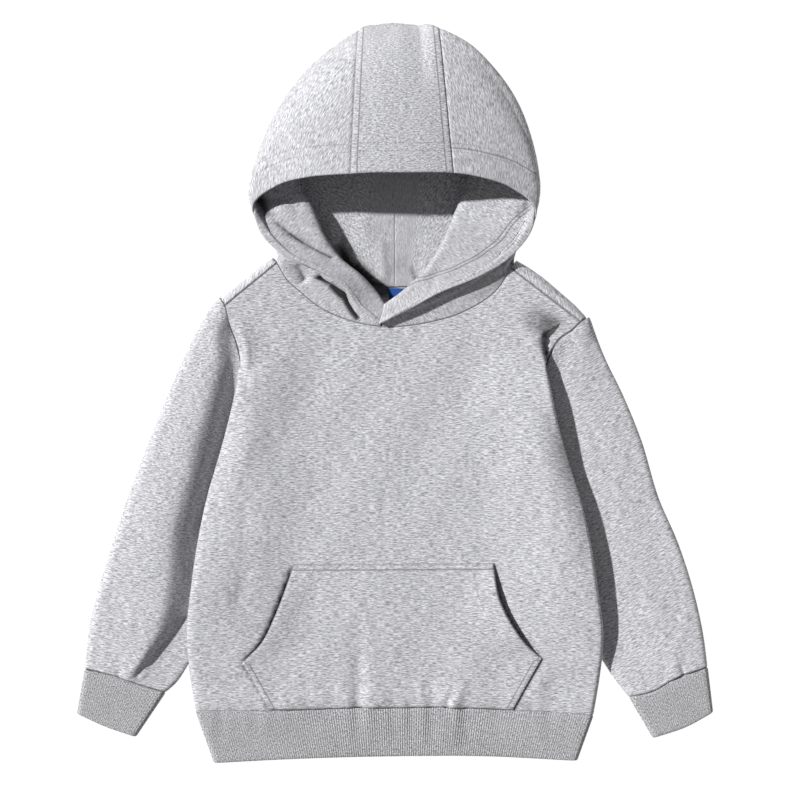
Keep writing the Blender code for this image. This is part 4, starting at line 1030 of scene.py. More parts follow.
def back_edge(side, y):
    """Distance from the middle to the back's side edge, in the flat cloth."""
    roll, _, _, arc = edge_section(SIDES[side] * np.ones_like(y), y)
    low = smooth(BODY_EDGE[side], y)[..., 0] + arc - roll - turned_under(side, y) - EDGE_GAP
    armhole = [(q, abs(p) - ARMHOLE_GAP - UNDERARM_INSET * (q < UNDERARM_Y / 2))
               for p, q in SLEEVE[side]["back"][:0:-1]]
    fold = np.array(SHOULDER_FOLD[side][1], float)
    _, out, _, arc = shoulder_section(side, *fold)
    seam_end = SHOULDER_SEAM[side][max(SIDES[side], 0)]
    wrap = (fold + out * (arc - SHOULDER_ROLL), unfold_shoulder(seam_end, side))
    armhole += [(q, abs(p) - ARMHOLE_GAP) for p, q in wrap]
    return np.where(y < UNDERARM_Y, low, smooth(armhole, y)[..., 0])


BACK_ROWS = (*FRONT_ROWS[:9], -60, -52, -45, -36, -10, 12, 30, 46, 60, 68, 74, 80, 86, 91)
BACK_COLUMNS = (0.08, 0.135, 0.195, 0.29, 0.71, 0.805, 0.865, 0.92)
BACK_CORNERS = (0.135, 0.195, 0.805, 0.865)


def back_surface():
    """The back: flat cloth that wraps the shoulders, and the body's edges below the sleeves."""
    right, left = ([unfold_shoulder(p, side) for p in np.linspace(*SHOULDER_SEAM[side], 9)]
                   for side in SIDES)
    top = (right, (right[-1], BACK_NECK[0]), BACK_NECK, (BACK_NECK[-1], left[0]), left)
    head = {"right": right[0][1], "left": left[-1][1]}
    rows = with_edges(refined((*BACK_ROWS[:-1], head["right"]), STEP))
    flat = bordered(panel(back_edge, head, top, BACK_CORNERS, rows, BACK_COLUMNS,
                          lambda side, y: 0 * y))
    kept = np.concatenate([flat, back_height(flat[..., 0], flat[..., 1])[..., None]], -1)
    kept = np.where(flat[..., 1:] < UNDERARM_Y, fold_side(flat, kept, -1), kept)
    for side in SIDES:
        kept = fold_shoulder(flat, kept, side)
    return flat[:, 1:-1], kept[:, 1:-1], normals(kept)[:, 1:-1]


# ---------------------------------------------------------------- tubes: sleeves, cuffs, hem band

def ring_shares(width, rolls, spread):
    """Shares across a flat tube from one edge to the other, close together in the rounded edges."""
    turn = np.radians(np.linspace(0, 90, 9))[:-1]
    first, last = rolls[0] * (1 - np.cos(turn)), rolls[1] * (1 - np.cos(turn[::-1]))
    middle = np.outer(width - rolls[0] - rolls[1], spread) + rolls[0]
    rows = np.ones((len(width), 1))
    return np.concatenate([rows * first, middle, width[:, None] - rows * last], 1) / width[:, None]


def rounded(shares, width, rolls):
    """1 in the flat part of a tube and 0 at its two edges, along a quarter circle between."""
    d = shares * width[:, None]
    return np.minimum(quarter_circle(d, rolls[0]), quarter_circle(width[:, None] - d, rolls[1]))


def flat_tube(top_plan, bottom_plan, height, shares, width, rolls, ground):
    """Rings of a tube that lies flat: over the top from edge to edge and back along the surface."""
    full = rounded(shares, width, rolls)
    top, bottom = height(shares), np.full_like(shares, ground)
    middle, half = (top + bottom) / 2, (top - bottom) / 2
    over = np.concatenate([top_plan, (middle + half * full)[..., None]], -1)
    under = np.concatenate([bottom_plan, (middle - half * full)[..., None]], -1)
    return np.concatenate([over, under[:, -2:0:-1]], 1)


def armhole_height(side, y):
    """Height of the front's edge along the armhole seam at y."""
    x = SIDES[side] * (smooth(ARMHOLE_SEAM[side], y)[..., 0] - 0.5)
    return front_height(x, y)


def sleeve_height(side, along_it, shares, plan):
    """Height of the sleeve's top layer: a crown, a valley beside the body, a low inner fold, and
    its creases. At the armhole it meets the front's edge as far as the seam shows."""
    profile = smooth(SLEEVE_PROFILE[side], along_it)
    crown_at, crown, valley_at, valley, fold = np.moveaxis(profile, -1, 0)
    keys = np.stack([0 * crown, crown_at, valley_at, (valley_at + 1) / 2, 1 + 0 * crown], -1)
    heights = np.stack([crown - SLEEVE_SLOPE[side], crown, valley, (valley + fold) / 2, fold], -1)
    slope = np.gradient(heights, axis=-1) / np.gradient(keys, axis=-1)
    slope[:, 1:3] *= 0.3
    i = np.clip((shares[..., None] >= keys[:, None, :]).sum(-1) - 1, 0, 3)
    row = np.arange(len(keys))[:, None]
    span = keys[row, i + 1] - keys[row, i]
    f = (shares - keys[row, i]) / span
    z = cubic(f, span, heights[row, i], heights[row, i + 1], slope[row, i], slope[row, i + 1])
    x, y = plan[..., 0], plan[..., 1]
    seam = armhole_height(side, y[:1])
    near = (1 - rise(along_it, 0, 0.075))[:, None] * rise(y[:1], *SEAM_MEETS[side])
    wave = crease(x, y, SLEEVE_CREASES[side]) + swell(x, y, 11 + SIDES[side], 60, 0.45)
    return z + (seam - z[:1]) * near + wave * (1 - near)


def sleeve_surface(side):
    """A sleeve as rings: its top layer between its own front armhole and cuff seam, and back."""
    plan = SLEEVE[side]
    length = even_rows((0, 1), SLEEVE_LENGTH)
    outer, inner = along(plan["outer"], length), along(plan["inner"], length)
    width = np.linalg.norm(outer - inner, axis=1)
    rolls = SLEEVE_ROLL[side]
    shares = ring_shares(width, rolls, np.linspace(0, 1, SLEEVE_COLUMNS))
    up = np.repeat(length[:, None], shares.shape[1], 1)

    def layer(armhole):
        edges = (lambda at, name=name: along(plan[name], at)
                 for name in (armhole, "cuff", "outer", "inner"))
        return patch(*edges, shares, up)

    top = layer("front")
    return flat_tube(top, layer("back"), lambda e: sleeve_height(side, length, e, top),
                     shares, width, rolls, HALF)


def band_surface(first, last, heights, roll, ribs):
    """A band as rings between a seam and its free end, rounded at both edges, with ribs round it.

    ribs is the number of ribs across the top layer. Also gives each ring point's place in ribs.
    """
    f = with_edges(np.linspace(0, 1, BAND_STEPS), BAND_EDGE_STEPS)
    ends = [(1 - f)[:, None] * along(first, np.array([e])) + f[:, None] * along(last, np.array([e]))
            for e in (0.0, 1.0)]
    width = np.linalg.norm(ends[1] - ends[0], axis=1)
    count = int(ribs * RIB_SAMPLES)
    even = np.linspace(0, 1, count + 1)
    edge_share = 1.2 * roll / width.mean()
    shares = np.repeat(even[None], len(f), 0)
    near = np.minimum(shares, 1 - shares)
    drawn = edge_share * (near / edge_share)**BAND_EDGE_POWER
    shift = np.where(near < edge_share, drawn - near, 0)
    shares = shares + np.where(shares < 0.5, shift, -shift)
    g = f[:, None, None]
    plan = (1 - g) * along(first, shares) + g * along(last, shares)
    height = heights(plan, f)
    grid = flat_tube(plan, plan, lambda e: height, shares, width, (roll, roll), RIB / 2)
    place = np.concatenate([even, 2 - even[-2:0:-1]]) * ribs
    return grid, np.repeat(place[None], len(f), 0)


def shifted(points, move):
    """Points in plan, all moved the same way."""
    return [tuple(np.asarray(p, float) + move) for p in points]


# ---------------------------------------------------------------- the hood

def lengths(points):
    """The distance from each point to the next."""
    return np.linalg.norm(np.diff(np.asarray(points, float), axis=0), axis=1)


def lift_to(plan, z):
    """Points in plan, at their heights."""
    return np.concatenate([plan, z[..., None]], -1)


def neckline(share):
    """The neck seam from the nape (0) round the shoulder to the front: plan and height.

    A negative share lies on the wearer's right. The point is moved a little into the neck.
    """
    share = np.asarray(share, float)
    right = share < 0
    back, front = lengths(BACK_NECK), lengths(FRONT_NECK)
    behind = np.where(right, back[:NAPE].sum(), back[NAPE:].sum())
    before = np.where(right, front[:FRONT_CENTRE].sum(), front[FRONT_CENTRE:].sum())
    nape, centre = back[:NAPE].sum() / back.sum(), front[:FRONT_CENTRE].sum() / front.sum()
    corner = behind / (behind + before)
    on_back = np.clip(np.abs(share) / corner, 0, 1)
    on_front = np.clip((np.abs(share) - corner) / (1 - corner), 0, 1)
    behind = along(BACK_NECK, np.where(right, nape * (1 - on_back), nape + (1 - nape) * on_back))
    before = along(FRONT_NECK, np.where(right, centre * on_front, 1 - (1 - centre) * on_front))
    place = np.where((on_front > 0)[..., None], before, behind)
    top = plain_height(place[..., 0], place[..., 1])
    climb = rise(np.abs(share), corner - 0.1, corner + 0.02)
    near = np.clip(1 - np.abs(np.abs(share) - corner) / CORNER_REACH, 0, 1)
    clear = NECK_CLEARANCE + CORNER_CLEARANCE * near**2
    place = place + clear[..., None] * unit(np.array(NECK_TOWARDS) - place)
    return lift_to(place, HOOD_FLOOR_HEIGHT + (top - HOOD_FLOOR_HEIGHT) * climb)


def hood_controls(share):
    """The control points of the hood's sections at the given shares, rim first, neck seam last.

    A section runs from the rim over the dome to the outer edge, in to the inner fold, out to the
    floor fold and in again to the neck seam. Each fold has four points: two on the layer above it
    and two on the layer below.
    """
    t = smooth(HOOD_SECTIONS, share)
    edge_rim, outer, inner, floor = t[:, 0:3], t[:, 3:5], t[:, 5:7], t[:, 7:9]
    edge, under, band, middle, over, ground = np.maximum(t[:, 10:], HOOD_FLOOR_HEIGHT).T
    neck = neckline(t[:, 9])

    def fold(before, tip, after, above, below, reach=FOLD_LENGTH):
        back, on = before - tip, after - tip
        gap = reach * np.maximum(above - below, FOLD_LEAST)

        def set_back(way):
            far = np.linalg.norm(way, axis=1)
            return tip + unit(way) * np.minimum(gap, FOLD_MOST * far)[:, None]

        return [lift_to(set_back(back), above), lift_to(tip, above), lift_to(tip, below),
                lift_to(set_back(on), below)]

    plan = edge_rim[:, :2]
    dome = [lift_to(plan + out * (outer - plan), edge + keep * (edge_rim[:, 2] - edge))
            for out, keep in DOME]
    points = [edge_rim, *dome,
              *fold(plan, outer, inner, edge, under, EDGE_FOLD_LENGTH),
              *fold(outer, inner, floor, band, middle),
              *fold(inner, floor, neck[:, :2], over, ground),
              lift_to(0.5 * (floor + neck[:, :2]), 0.6 * ground + 0.4 * neck[:, 2]), neck]
    return np.stack(points, 1)


def spline(controls, at):
    """The cubic B-spline of each row of control points, clamped at both ends, read at shares."""
    count, degree = controls.shape[1], 3
    inner = np.linspace(0, 1, count - degree + 1)
    knots = np.concatenate([np.zeros(degree), inner, np.ones(degree)])
    at = np.clip(np.asarray(at, float), 0, 1 - 1e-9)[:, None]
    basis = ((knots[:-1] <= at) & (at < knots[1:])).astype(float)
    for d in range(1, degree + 1):
        rising, falling = knots[d:-1] - knots[:-d - 1], knots[d + 1:] - knots[1:-d]
        left = np.where(rising > 0, (at - knots[:-d - 1]) / np.maximum(rising, 1e-12), 0)
        right = np.where(falling > 0, (knots[d + 1:] - at) / np.maximum(falling, 1e-12), 0)
        basis = left * basis[:, :-1] + right * basis[:, 1:]
    return np.einsum("rc,scx->rsx", basis, controls)


# The hood's rows are counted in spans between control points. Its steps are a share of the opening
# across and millimetres from row to row.
HOOD_SPANS = 14
HOOD_ACROSS_STEP = 0.0058
HOOD_STEP = 3.6


def hood_rows():
    """Rows of the hood's sections, in spans between control points, so that nowhere two of them
    lie further apart than the step."""
    fine = np.linspace(0, HOOD_SPANS, 1401)
    grid = spline(hood_controls(np.linspace(-1, 1, 41)), fine / HOOD_SPANS)
    far = travelled(grid, 0)
    far = np.concatenate([[0], np.cumsum(np.diff(far, axis=0).max(axis=1))])
    places = with_edges(np.linspace(0, far[-1], int(far[-1] / HOOD_STEP) + 1))
    return np.interp(places, far, fine)


def hood_surface():
    """The hood's whole surface, its normals, its columns' shares, its rows and its painted shade.
    """
    shares = refined((-1, CENTRE_PANEL[0], 0, CENTRE_PANEL[1], 1), HOOD_ACROSS_STEP)
    down = hood_rows()
    grid = spline(hood_controls(shares), down / HOOD_SPANS)
    way = normals(grid)
    s, d = np.meshgrid(shares, down)

    def creased(first, last, *row):
        rows = plateau(d, (first - 0.3, first + 0.3), (last - 0.1, last + 0.4))
        return rows, crease(grid[..., 0], grid[..., 1], (row,))

    lift, painted_shade = 0 * d, 0 * d
    for rows, height in (creased(*row) for row in HOOD_CREASES):
        lift += rows * height * np.sign(way[..., 2])
    # Painted shade in the hood's deep folds and hollows.
    for rows, dark in (creased(*row) for row in HOOD_PAINTED_SHADES):
        painted_shade = np.maximum(painted_shade, rows * np.minimum(HOOD_PAINTED_SHADE_GAIN * dark, 1))
    lift += swell(s * 500, d * 30, 21, 70, 0.5) * plateau(d, (0.1, 0.9), (3, 4.4))
    grid = grid + way * lift[..., None]
    grid[..., 2] = np.maximum(grid[..., 2], HOOD_FLOOR_HEIGHT)
    return grid, normals(grid), shares, down, painted_shade


# ---------------------------------------------------------------- shader building

class Value:
    """A number in a material's node tree. Python's operators on it add Math nodes."""

    def __init__(self, graph, socket):
        self.graph, self.socket = graph, socket

    def __add__(self, other):
        return self.graph.math("ADD", self, other)

    def __sub__(self, other):
        return self.graph.math("SUBTRACT", self, other)

    def __rsub__(self, other):
        return self.graph.math("SUBTRACT", other, self)

    def __mul__(self, other):
        return self.graph.math("MULTIPLY", self, other)

    def __truediv__(self, other):
        return self.graph.math("DIVIDE", self, other)

    def __pow__(self, other):
        return self.graph.math("POWER", self, other)

    __radd__ = __add__
    __rmul__ = __mul__


class Graph:
    """A material and its node tree."""

    def __init__(self, name):
        self.material = bpy.data.materials.new(name)
        self.material.use_nodes = True
        self.tree = self.material.node_tree
        self.shader = self.tree.nodes["Principled BSDF"]

    def node(self, kind, settings=None, inputs=None):
        """Adds a node, gives it its settings and then the values or links of its inputs."""
        made = self.tree.nodes.new(kind)
        for name, value in (settings or {}).items():
            setattr(made, name, value)
        for key, value in (inputs or {}).items():
            self.put(made.inputs[key], value)
        return made

    def put(self, socket, value):
        """Links a socket to a value, or sets it."""
        value = value.socket if isinstance(value, Value) else value
        if isinstance(value, bpy.types.NodeSocket):
            self.tree.links.new(value, socket)
        else:
            socket.default_value = value

    def math(self, operation, *numbers, clamp=False):
        made = self.node("ShaderNodeMath", {"operation": operation, "use_clamp": clamp},
                         dict(enumerate(numbers)))
        return Value(self, made.outputs[0])

    def limit(self, value, low=0.0, high=1.0):
        """0 below low, 1 above high and straight between."""
        above = self.math("SUBTRACT", value, low)
        return self.math("MULTIPLY", above, 1 / (high - low), clamp=True)

    def cloth(self):
        """The place in the flat cloth."""
        return self.node("ShaderNodeUVMap", {"uv_map": "cloth"}).outputs[0]

    def parts(self, vector):
        """The three numbers of a vector."""
        split = self.node("ShaderNodeSeparateXYZ", {}, {0: vector})
        return [Value(self, part) for part in split.outputs]

    def attribute(self, name):
        """The three numbers of an attribute of the mesh."""
        made = self.node("ShaderNodeAttribute", {"attribute_name": name})
        return self.parts(made.outputs["Vector"])

    def stretch(self, vector, by):
        made = self.node("ShaderNodeVectorMath", {"operation": "MULTIPLY"}, {0: vector, 1: by})
        return made.outputs[0]

    def noise(self, vector, detail=2.0, rough=0.5):
        made = self.node("ShaderNodeTexNoise", {"noise_dimensions": "3D"},
                         {"Vector": vector, "Scale": 1.0, "Detail": detail, "Roughness": rough})
        return Value(self, made.outputs[0])

    def mix(self, share, first, second):
        made = self.node("ShaderNodeMix", {"data_type": "RGBA"}, {0: share, 6: first, 7: second})
        return made.outputs[2]

    def finish(self, colour, roughness, height, reach):
        """Sets the surface: colour, roughness and the bump of a height in millimetres."""
        bump = self.node("ShaderNodeBump", {},
                         {"Strength": 1.0, "Distance": reach, "Height": height})
        self.put(self.shader.inputs["Base Color"], colour)
        self.put(self.shader.inputs["Roughness"], roughness)
        self.put(self.shader.inputs["Normal"], bump.outputs[0])
        self.shader.inputs["Specular IOR Level"].default_value = 0.2
        return self.material


def rgb(colour, shade=1.0):
    """A colour at a share of its brightness, with full cover."""
    return (*(part * shade for part in colour), 1.0)


# The marl: how far its streaks wander along and across, in metres, how dark and how light they are
# against the mean, and the pitch of the wales and of the courses.
WANDER = (0.003, 0.007, 0.0)
DARK_STREAK, LIGHT_STREAK = 0.53, 0.44
WALE, COURSE = 0.00105, 0.0016
# Shares of the mean colour in a dark fleck, in a groove and in the painted shade of a deep fold,
# and how much of each shows there. A groove's half width is in millimetres.
FLECK, FLECK_SHARE = 0.42, 0.4
GROOVE, GROOVE_SHARE, GROOVE_WIDTH = 0.3, 0.72, 0.6
PAINTED_SHADE_TONE, PAINTED_SHADE_SHARE = 0.03, 0.97
# Heights of the wales, the streaks, the fine streaks, the puckers and the grooves.
RELIEF = (0.05, 0.22, 0.17, 0.35, 0.55)


def marl(name, colour, settings, contrast=1.0, streak=1.0, knit=1.0):
    """Marl jersey: light and dark fibres in short streaks along the courses, over fine wales.

    The streaks are noise stretched along the cloth's first direction and bent a little, and the
    wales are a sine across it. Grooves run where a distance in the attribute "lines" is near 0, and
    painted shade darkens the cloth where the attribute "depth" is near 1.
    """
    g = Graph(name)
    at = g.cloth()
    wander = g.node("ShaderNodeTexNoise", {}, {"Vector": g.stretch(at, (26, 26, 26)), "Scale": 1.0,
                                               "Detail": 3.0, "Roughness": 0.45}).outputs["Color"]
    bent = g.node("ShaderNodeVectorMath", {"operation": "MULTIPLY_ADD"},
                  {0: wander, 1: WANDER, 2: at}).outputs[0]
    length, width = settings.streak_length * streak, settings.streak_width
    fibre = g.noise(g.stretch(bent, (1 / length, 1 / width, 1)), 2.0, 0.6)
    fine = g.noise(g.stretch(bent, (2.2 / length, 1.8 / width, 1)), 1.0, 0.6)
    cloud = g.noise(g.stretch(at, (42, 55, 1)), 2.0, 0.5)
    dark = g.limit(fibre * 0.5 + fine * 0.5, 0.40, 0.60)
    tone = g.limit(dark + (cloud - 0.5) * 0.22)
    shade = g.mix(tone, rgb(colour, 1 - DARK_STREAK * contrast),
                  rgb(colour, 1 + LIGHT_STREAK * contrast))
    fleck = g.limit(g.noise(g.stretch(bent, (1.7 / length, 1.3 / width, 7)), 0.0), 0.66, 0.74)
    shade = g.mix(fleck * FLECK_SHARE, shade, rgb(colour, FLECK))

    groove = 0.0
    for off in g.attribute("lines"):
        near = (g.math("ABSOLUTE", off) / GROOVE_WIDTH)**2.0
        groove = groove + g.math("EXPONENT", near * -1.0)
    groove = g.limit(groove)
    shade = g.mix(groove * GROOVE_SHARE, shade, rgb(colour, GROOVE))
    # Painted shade in deep folds, where the attribute "depth" is near 1.
    shade = g.mix(g.limit(g.attribute("depth")[0]) * PAINTED_SHADE_SHARE, shade, rgb(colour, PAINTED_SHADE_TONE))

    u, v, _ = g.parts(at)
    wales = g.math("SINE", u * (2 * np.pi / WALE)) * g.math("SINE", v * (2 * np.pi / COURSE))
    pucker = g.noise(g.stretch(at, (330, 330, 1)), 1.0) * groove
    wale, streaks, fines, puckers, grooves = RELIEF
    height = (wales * wale * knit + fibre * streaks + fine * fines + pucker * puckers
              - groove * grooves)
    material = g.finish(shade, 0.93, height, 0.00075)
    g.shader.inputs["Sheen Weight"].default_value = 0.12
    g.shader.inputs["Sheen Roughness"].default_value = 0.55
    return material


def thread(name, colour):
    """Sewing thread: one colour with a fine twist."""
    g = Graph(name)
    at = g.node("ShaderNodeTexCoord").outputs["Object"]
    twist = g.noise(g.stretch(at, (2500, 2500, 2500)), 1.0)
    return g.finish(g.mix(twist, rgb(colour, 0.8), rgb(colour, 1.1)), 0.7, twist, 0.0001)


def woven(name, colour):
    """A woven tab: fine warp and weft as crossed sines."""
    g = Graph(name)
    u, v, _ = g.parts(g.cloth())
    tone = g.limit(g.math("SINE", u * 12000.0) * g.math("SINE", v * 12000.0), -1.0, 1.0)
    return g.finish(g.mix(tone, rgb(colour, 0.85), rgb(colour, 1.1)), 0.55, tone, 0.0001)


# ---------------------------------------------------------------- settings

def colour_setting(name, description, default):
    """A colour that a user can change."""
    return FloatVectorProperty(name=name, description=description, subtype="COLOR",
                               default=default, min=0, max=1)


def size_setting(name, description, default, least):
    """A length that a user can change, in metres."""
    return FloatProperty(name=name, description=description, subtype="DISTANCE", unit="LENGTH",
                         default=default, min=least)


class HoodieCloth(bpy.types.PropertyGroup):
    """The jersey and the rib."""

    fleece_colour: colour_setting(
        "Jersey colour", "Mean colour of the marl jersey", (0.54, 0.54, 0.565))
    rib_colour: colour_setting(
        "Rib colour", "Mean colour of the rib bands", (0.425, 0.422, 0.435))
    label_colour: colour_setting(
        "Label colour", "Colour of the plain neck label", (0.012, 0.075, 0.33))
    streak_length: size_setting("Streak length", "Length of one fibre streak", 0.0076, 0.0005)
    streak_width: size_setting("Streak width", "Width of one fibre streak", 0.00092, 0.0002)
    rib_pitch: size_setting("Rib pitch", "Distance from one rib to the next", 0.0021, 0.0005)
    rib_depth: size_setting("Rib depth", "Depth of the valley between two ribs", 0.0005, 0)


class HoodieThread(bpy.types.PropertyGroup):
    """The topstitching."""

    colour: colour_setting("Thread colour", "Colour of the sewing thread", (0.40, 0.40, 0.42))
    thread: size_setting("Thread", "Diameter of the thread", 0.00055, 0.0001)
    stitch_length: size_setting("Stitch length", "Length of one stitch", 0.0023, 0.0005)
    stitch_pitch: size_setting(
        "Stitch pitch", "Distance from one stitch to the next", 0.0030, 0.0005)


class HoodieStage(bpy.types.PropertyGroup):
    """The floor, the lights and the camera."""

    floor_colour: colour_setting("Floor", "Colour of the floor", (0.9, 0.9, 0.9))
    floor_glow: FloatProperty(
        name="Floor glow", description="How much light the floor gives off", default=1.0, min=0)
    key: FloatProperty(
        name="Key light", description="Strength of the light from the left", default=4.3, min=0)
    fill: FloatProperty(
        name="Fill light", description="Strength of the light from all round", default=0.2, min=0)
    camera_height: size_setting(
        "Camera height", "Height of the camera above the surface", 2.0, 0.1)
    lens: FloatProperty(
        name="Lens", description="Focal length in millimetres", default=102.3, min=10)


def shared(name, make):
    """A material that several pieces use, made once."""
    return bpy.data.materials.get(name) or make(name)


def jersey():
    """The body's and the hood's cloth."""
    s = bpy.context.scene.hoodie_cloth
    return shared("marl jersey", lambda n: marl(n, s.fleece_colour, s))


def rib_cloth():
    """The bands' cloth: its streaks are short, because a rib hides most of each."""
    s = bpy.context.scene.hoodie_cloth
    return shared("marl rib", lambda n: marl(n, s.rib_colour, s, 1.25, 0.24, 0.4))


def topstitched(name, paths):
    """Rows of topstitching as a piece."""
    s = bpy.context.scene.hoodie_thread
    material = shared("sewing thread", lambda n: thread(n, s.colour))
    stitches(name, paths, material, s)


def stitch_lines(face, way, distances):
    """Paths on a face at several distances from its first row."""
    return [line_on(face, way, distance) for distance in distances]


def sewn_thickness(grid, ring=False, keep=0.45):
    """Half the thickness of a fleece piece whose cut edges are drawn down into seams.

    Near an edge it falls to a share of the full one along a quarter circle.
    """
    far = from_ends(grid, 0)
    if not ring:
        far = np.minimum(far, from_ends(grid, 1))
    return HALF * (keep + (1 - keep) * quarter_circle(far, SEAM_REACH))


# ---------------------------------------------------------------- operators

class HOODIE_OT_body(bpy.types.Operator):
    """Sews the front and the back"""

    bl_idname = "hoodie.body"
    bl_label = "Front and back"

    def execute(self, context):
        for name, made in (("front", front_surface()), ("back", back_surface())):
            flat, grid, way = made
            half = sewn_thickness(grid)
            # Painted shade: on the front in its folds and beside the pocket, on the back between
            # the hood's flaps.
            painted_shade = (front_painted_shade if name == "front" else back_painted_shade)(flat[..., 0], flat[..., 1])
            lines = three(from_end(grid, 0) - SEAM_LINE, from_ends(grid, 1) - SEAM_LINE, like=grid)
            piece = cloth(f"{name}_fleece", grid, -half, half, flat, lines, jersey(),
                          way=way, painted_shade=(0, painted_shade))
            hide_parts(f"{name}_panel")
        return {"FINISHED"}


class HOODIE_OT_sleeves(bpy.types.Operator):
    """Sews the two sleeves"""

    bl_idname = "hoodie.sleeves"
    bl_label = "Sleeves"

    def execute(self, context):
        for side, outwards in SIDES.items():
            grid = sleeve_surface(side)
            closed = np.concatenate([grid, grid[:, :1]], 1)
            turn = np.radians(COURSES[side])
            across, down = (np.cos(turn), np.sin(turn)), (-np.sin(turn), np.cos(turn))
            flat = np.stack([closed[:, :1, :2] @ across - outwards * travelled(closed, 1),
                             closed[..., :2] @ down], -1)
            half = sewn_thickness(grid, ring=True)
            seams = three(travelled(grid, 0) - SEAM_LINE, from_end(grid, 0) - SEAM_LINE, like=grid)
            piece = cloth(f"sleeve_{side}_fleece", grid, -half, half, flat, seams,
                          jersey(), ring=True)
            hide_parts(f"sleeve_{side}")
        return {"FINISHED"}


def ribbed(name, node, grid, place, depth):
    """A rib band: its outer face rises and falls with each rib, its inner face follows softly."""
    wave = np.abs(np.sin(np.pi * place))**0.8 - 0.5
    half = RIB / 2 * (0.5 + 0.5 * quarter_circle(from_ends(grid, 0), RIB_SEAM_REACH))
    outer = half + depth * (wave - 0.35)
    inner = -half + 0.3 * depth * (0.5 - wave)
    closed = np.concatenate([grid, grid[:, :1]], 1)
    around = np.concatenate([place, place[:, -1:] + 1 / RIB_SAMPLES], 1)
    flat = np.stack([travelled(closed, 0), around * RIB_FLAT_PITCH], -1)
    way = normals(grid, True)
    way = way * np.sign(np.sum(way * (grid - grid.mean(axis=1, keepdims=True))))
    piece = cloth(name, grid, inner, outer, flat, three(like=grid), rib_cloth(),
                  ring=True, way=way)
    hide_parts(node)
    return piece


class HOODIE_OT_bands(bpy.types.Operator):
    """Sews the rib cuffs and the rib hem band"""

    bl_idname = "hoodie.bands"
    bl_label = "Cuffs and hem band"

    def execute(self, context):
        settings = context.scene.hoodie_cloth
        depth, pitch = settings.rib_depth * 1000, settings.rib_pitch * 1000

        def cuff_heights(plan, f):
            return np.repeat(np.interp(f, (0, 1), CUFF_HEIGHT)[:, None], plan.shape[1], 1)

        for side in SIDES:
            name, seam = f"cuff_{side}", shifted(SLEEVE[side]["cuff"], CUFF_SEAM[side])
            ribs = round(lengths((seam[0], seam[-1]))[0] / pitch)
            grid, place = band_surface(seam, CUFF_END[side], cuff_heights, CUFF_ROLL, ribs)
            ribbed(f"{name}_rib", name, grid, place, CUFF_RIB_SHARE * depth)

        def hem_heights(plan, f):
            at = (plan[..., 0], np.full(plan.shape[:2], HEM_SEAM[0][1]))
            seam = 0.55 * plain_height(*at) + 0.45 * front_height(*at)
            seam = seam + swell(plan[..., 0], 0 * plan[..., 0], 31, 24, 0.2)
            return seam + (HEM_END_HEIGHT - seam) * rise(f, 0, 1)[:, None]

        ribs = round(lengths((HEM_SEAM[0], HEM_SEAM[-1]))[0] / pitch)
        seam = shifted(HEM_SEAM, HEM_SEAM_MOVE)
        grid, place = band_surface(seam, HEM_END, hem_heights, HEM_ROLL, ribs)
        middle = np.exp(-((grid[..., 0] - 10) / 105)**4)
        depth = depth * (0.6 + 0.8 * middle)
        ribbed("hem_band_rib", "hem_band", grid, place, depth)
        return {"FINISHED"}


def pocket_surface(across, up):
    """The pocket: a patch of the front's own plan, laid on the front and lifted at its openings."""
    def side(name):
        rows = POCKET_SIDE[name]
        return lambda v: chain((rows[:2], rows[1:]), (POCKET_CORNER_SHARE,), v)

    right, left = POCKET_SIDE["right"], POCKET_SIDE["left"]
    hem = (right[0], *[(x, y + POCKET_HEM_GAP) for x, y in HEM_SEAM[2:6]], left[0])
    top = (right[-1], left[-1])
    plan = patch(lambda u: along(hem, u), lambda u: along(top, u), side("right"), side("left"),
                 across, up)
    opening = plateau(up, (POCKET_CORNER_SHARE, POCKET_CORNER_SHARE + 0.2), (0.8, 0.99))
    lift = opening * (POCKET_LIFT["right"] * (1 - rise(across, 0, POCKET_LIFT_SHARE))
                      + POCKET_LIFT["left"] * (1 - rise(1 - across, 0, POCKET_LIFT_SHARE)))
    z = front_height(plan[..., 0], plan[..., 1])
    half = sewn_thickness(lift_to(plan, z), keep=POCKET_EDGE_SHARE)
    return lift_to(plan, z + HALF + 0.3 * GAP + half + lift), half


class HOODIE_OT_pocket(bpy.types.Operator):
    """Sews the kangaroo pocket and its topstitching"""

    bl_idname = "hoodie.pocket"
    bl_label = "Kangaroo pocket"

    def execute(self, context):
        across = even_rows((0, 1), POCKET_WIDTH)
        up = even_rows((0, POCKET_CORNER_SHARE, 1), POCKET_HEIGHT)
        grid, half = pocket_surface(*np.meshgrid(across, up))
        opening = rise(up, POCKET_CORNER_SHARE - 0.02, POCKET_CORNER_SHARE + 0.02)[:, None]
        top = pair(from_end(grid, 0), 0.3, 5.2)
        sides = pair(from_ends(grid, 1), 0.3 - 3 * opening, 5.6 - 5 * opening)
        way = normals(grid)
        piece = cloth("pocket_fleece", grid, -half, half, grid[..., :2],
                      three(top, sides, like=grid), jersey(), way=way)
        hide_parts("kangaroo_pocket")

        face = grid + way * half[..., None]
        corner = int(np.argmin(np.abs(up - POCKET_CORNER_SHARE)))
        paths = stitch_lines(face[::-1], way[::-1], POCKET_TOP_STITCHES)
        for flip in (1, -1):
            sheet, facing = (np.swapaxes(a[:, ::flip], 0, 1) for a in (face, way))
            for part, distances in ((slice(0, corner + 1), POCKET_LOW_STITCHES),
                                    (slice(corner, None), POCKET_OPENING_STITCHES)):
                paths += stitch_lines(sheet[:, part], facing[:, part], distances)
        topstitched("pocket_stitches", paths)
        return {"FINISHED"}


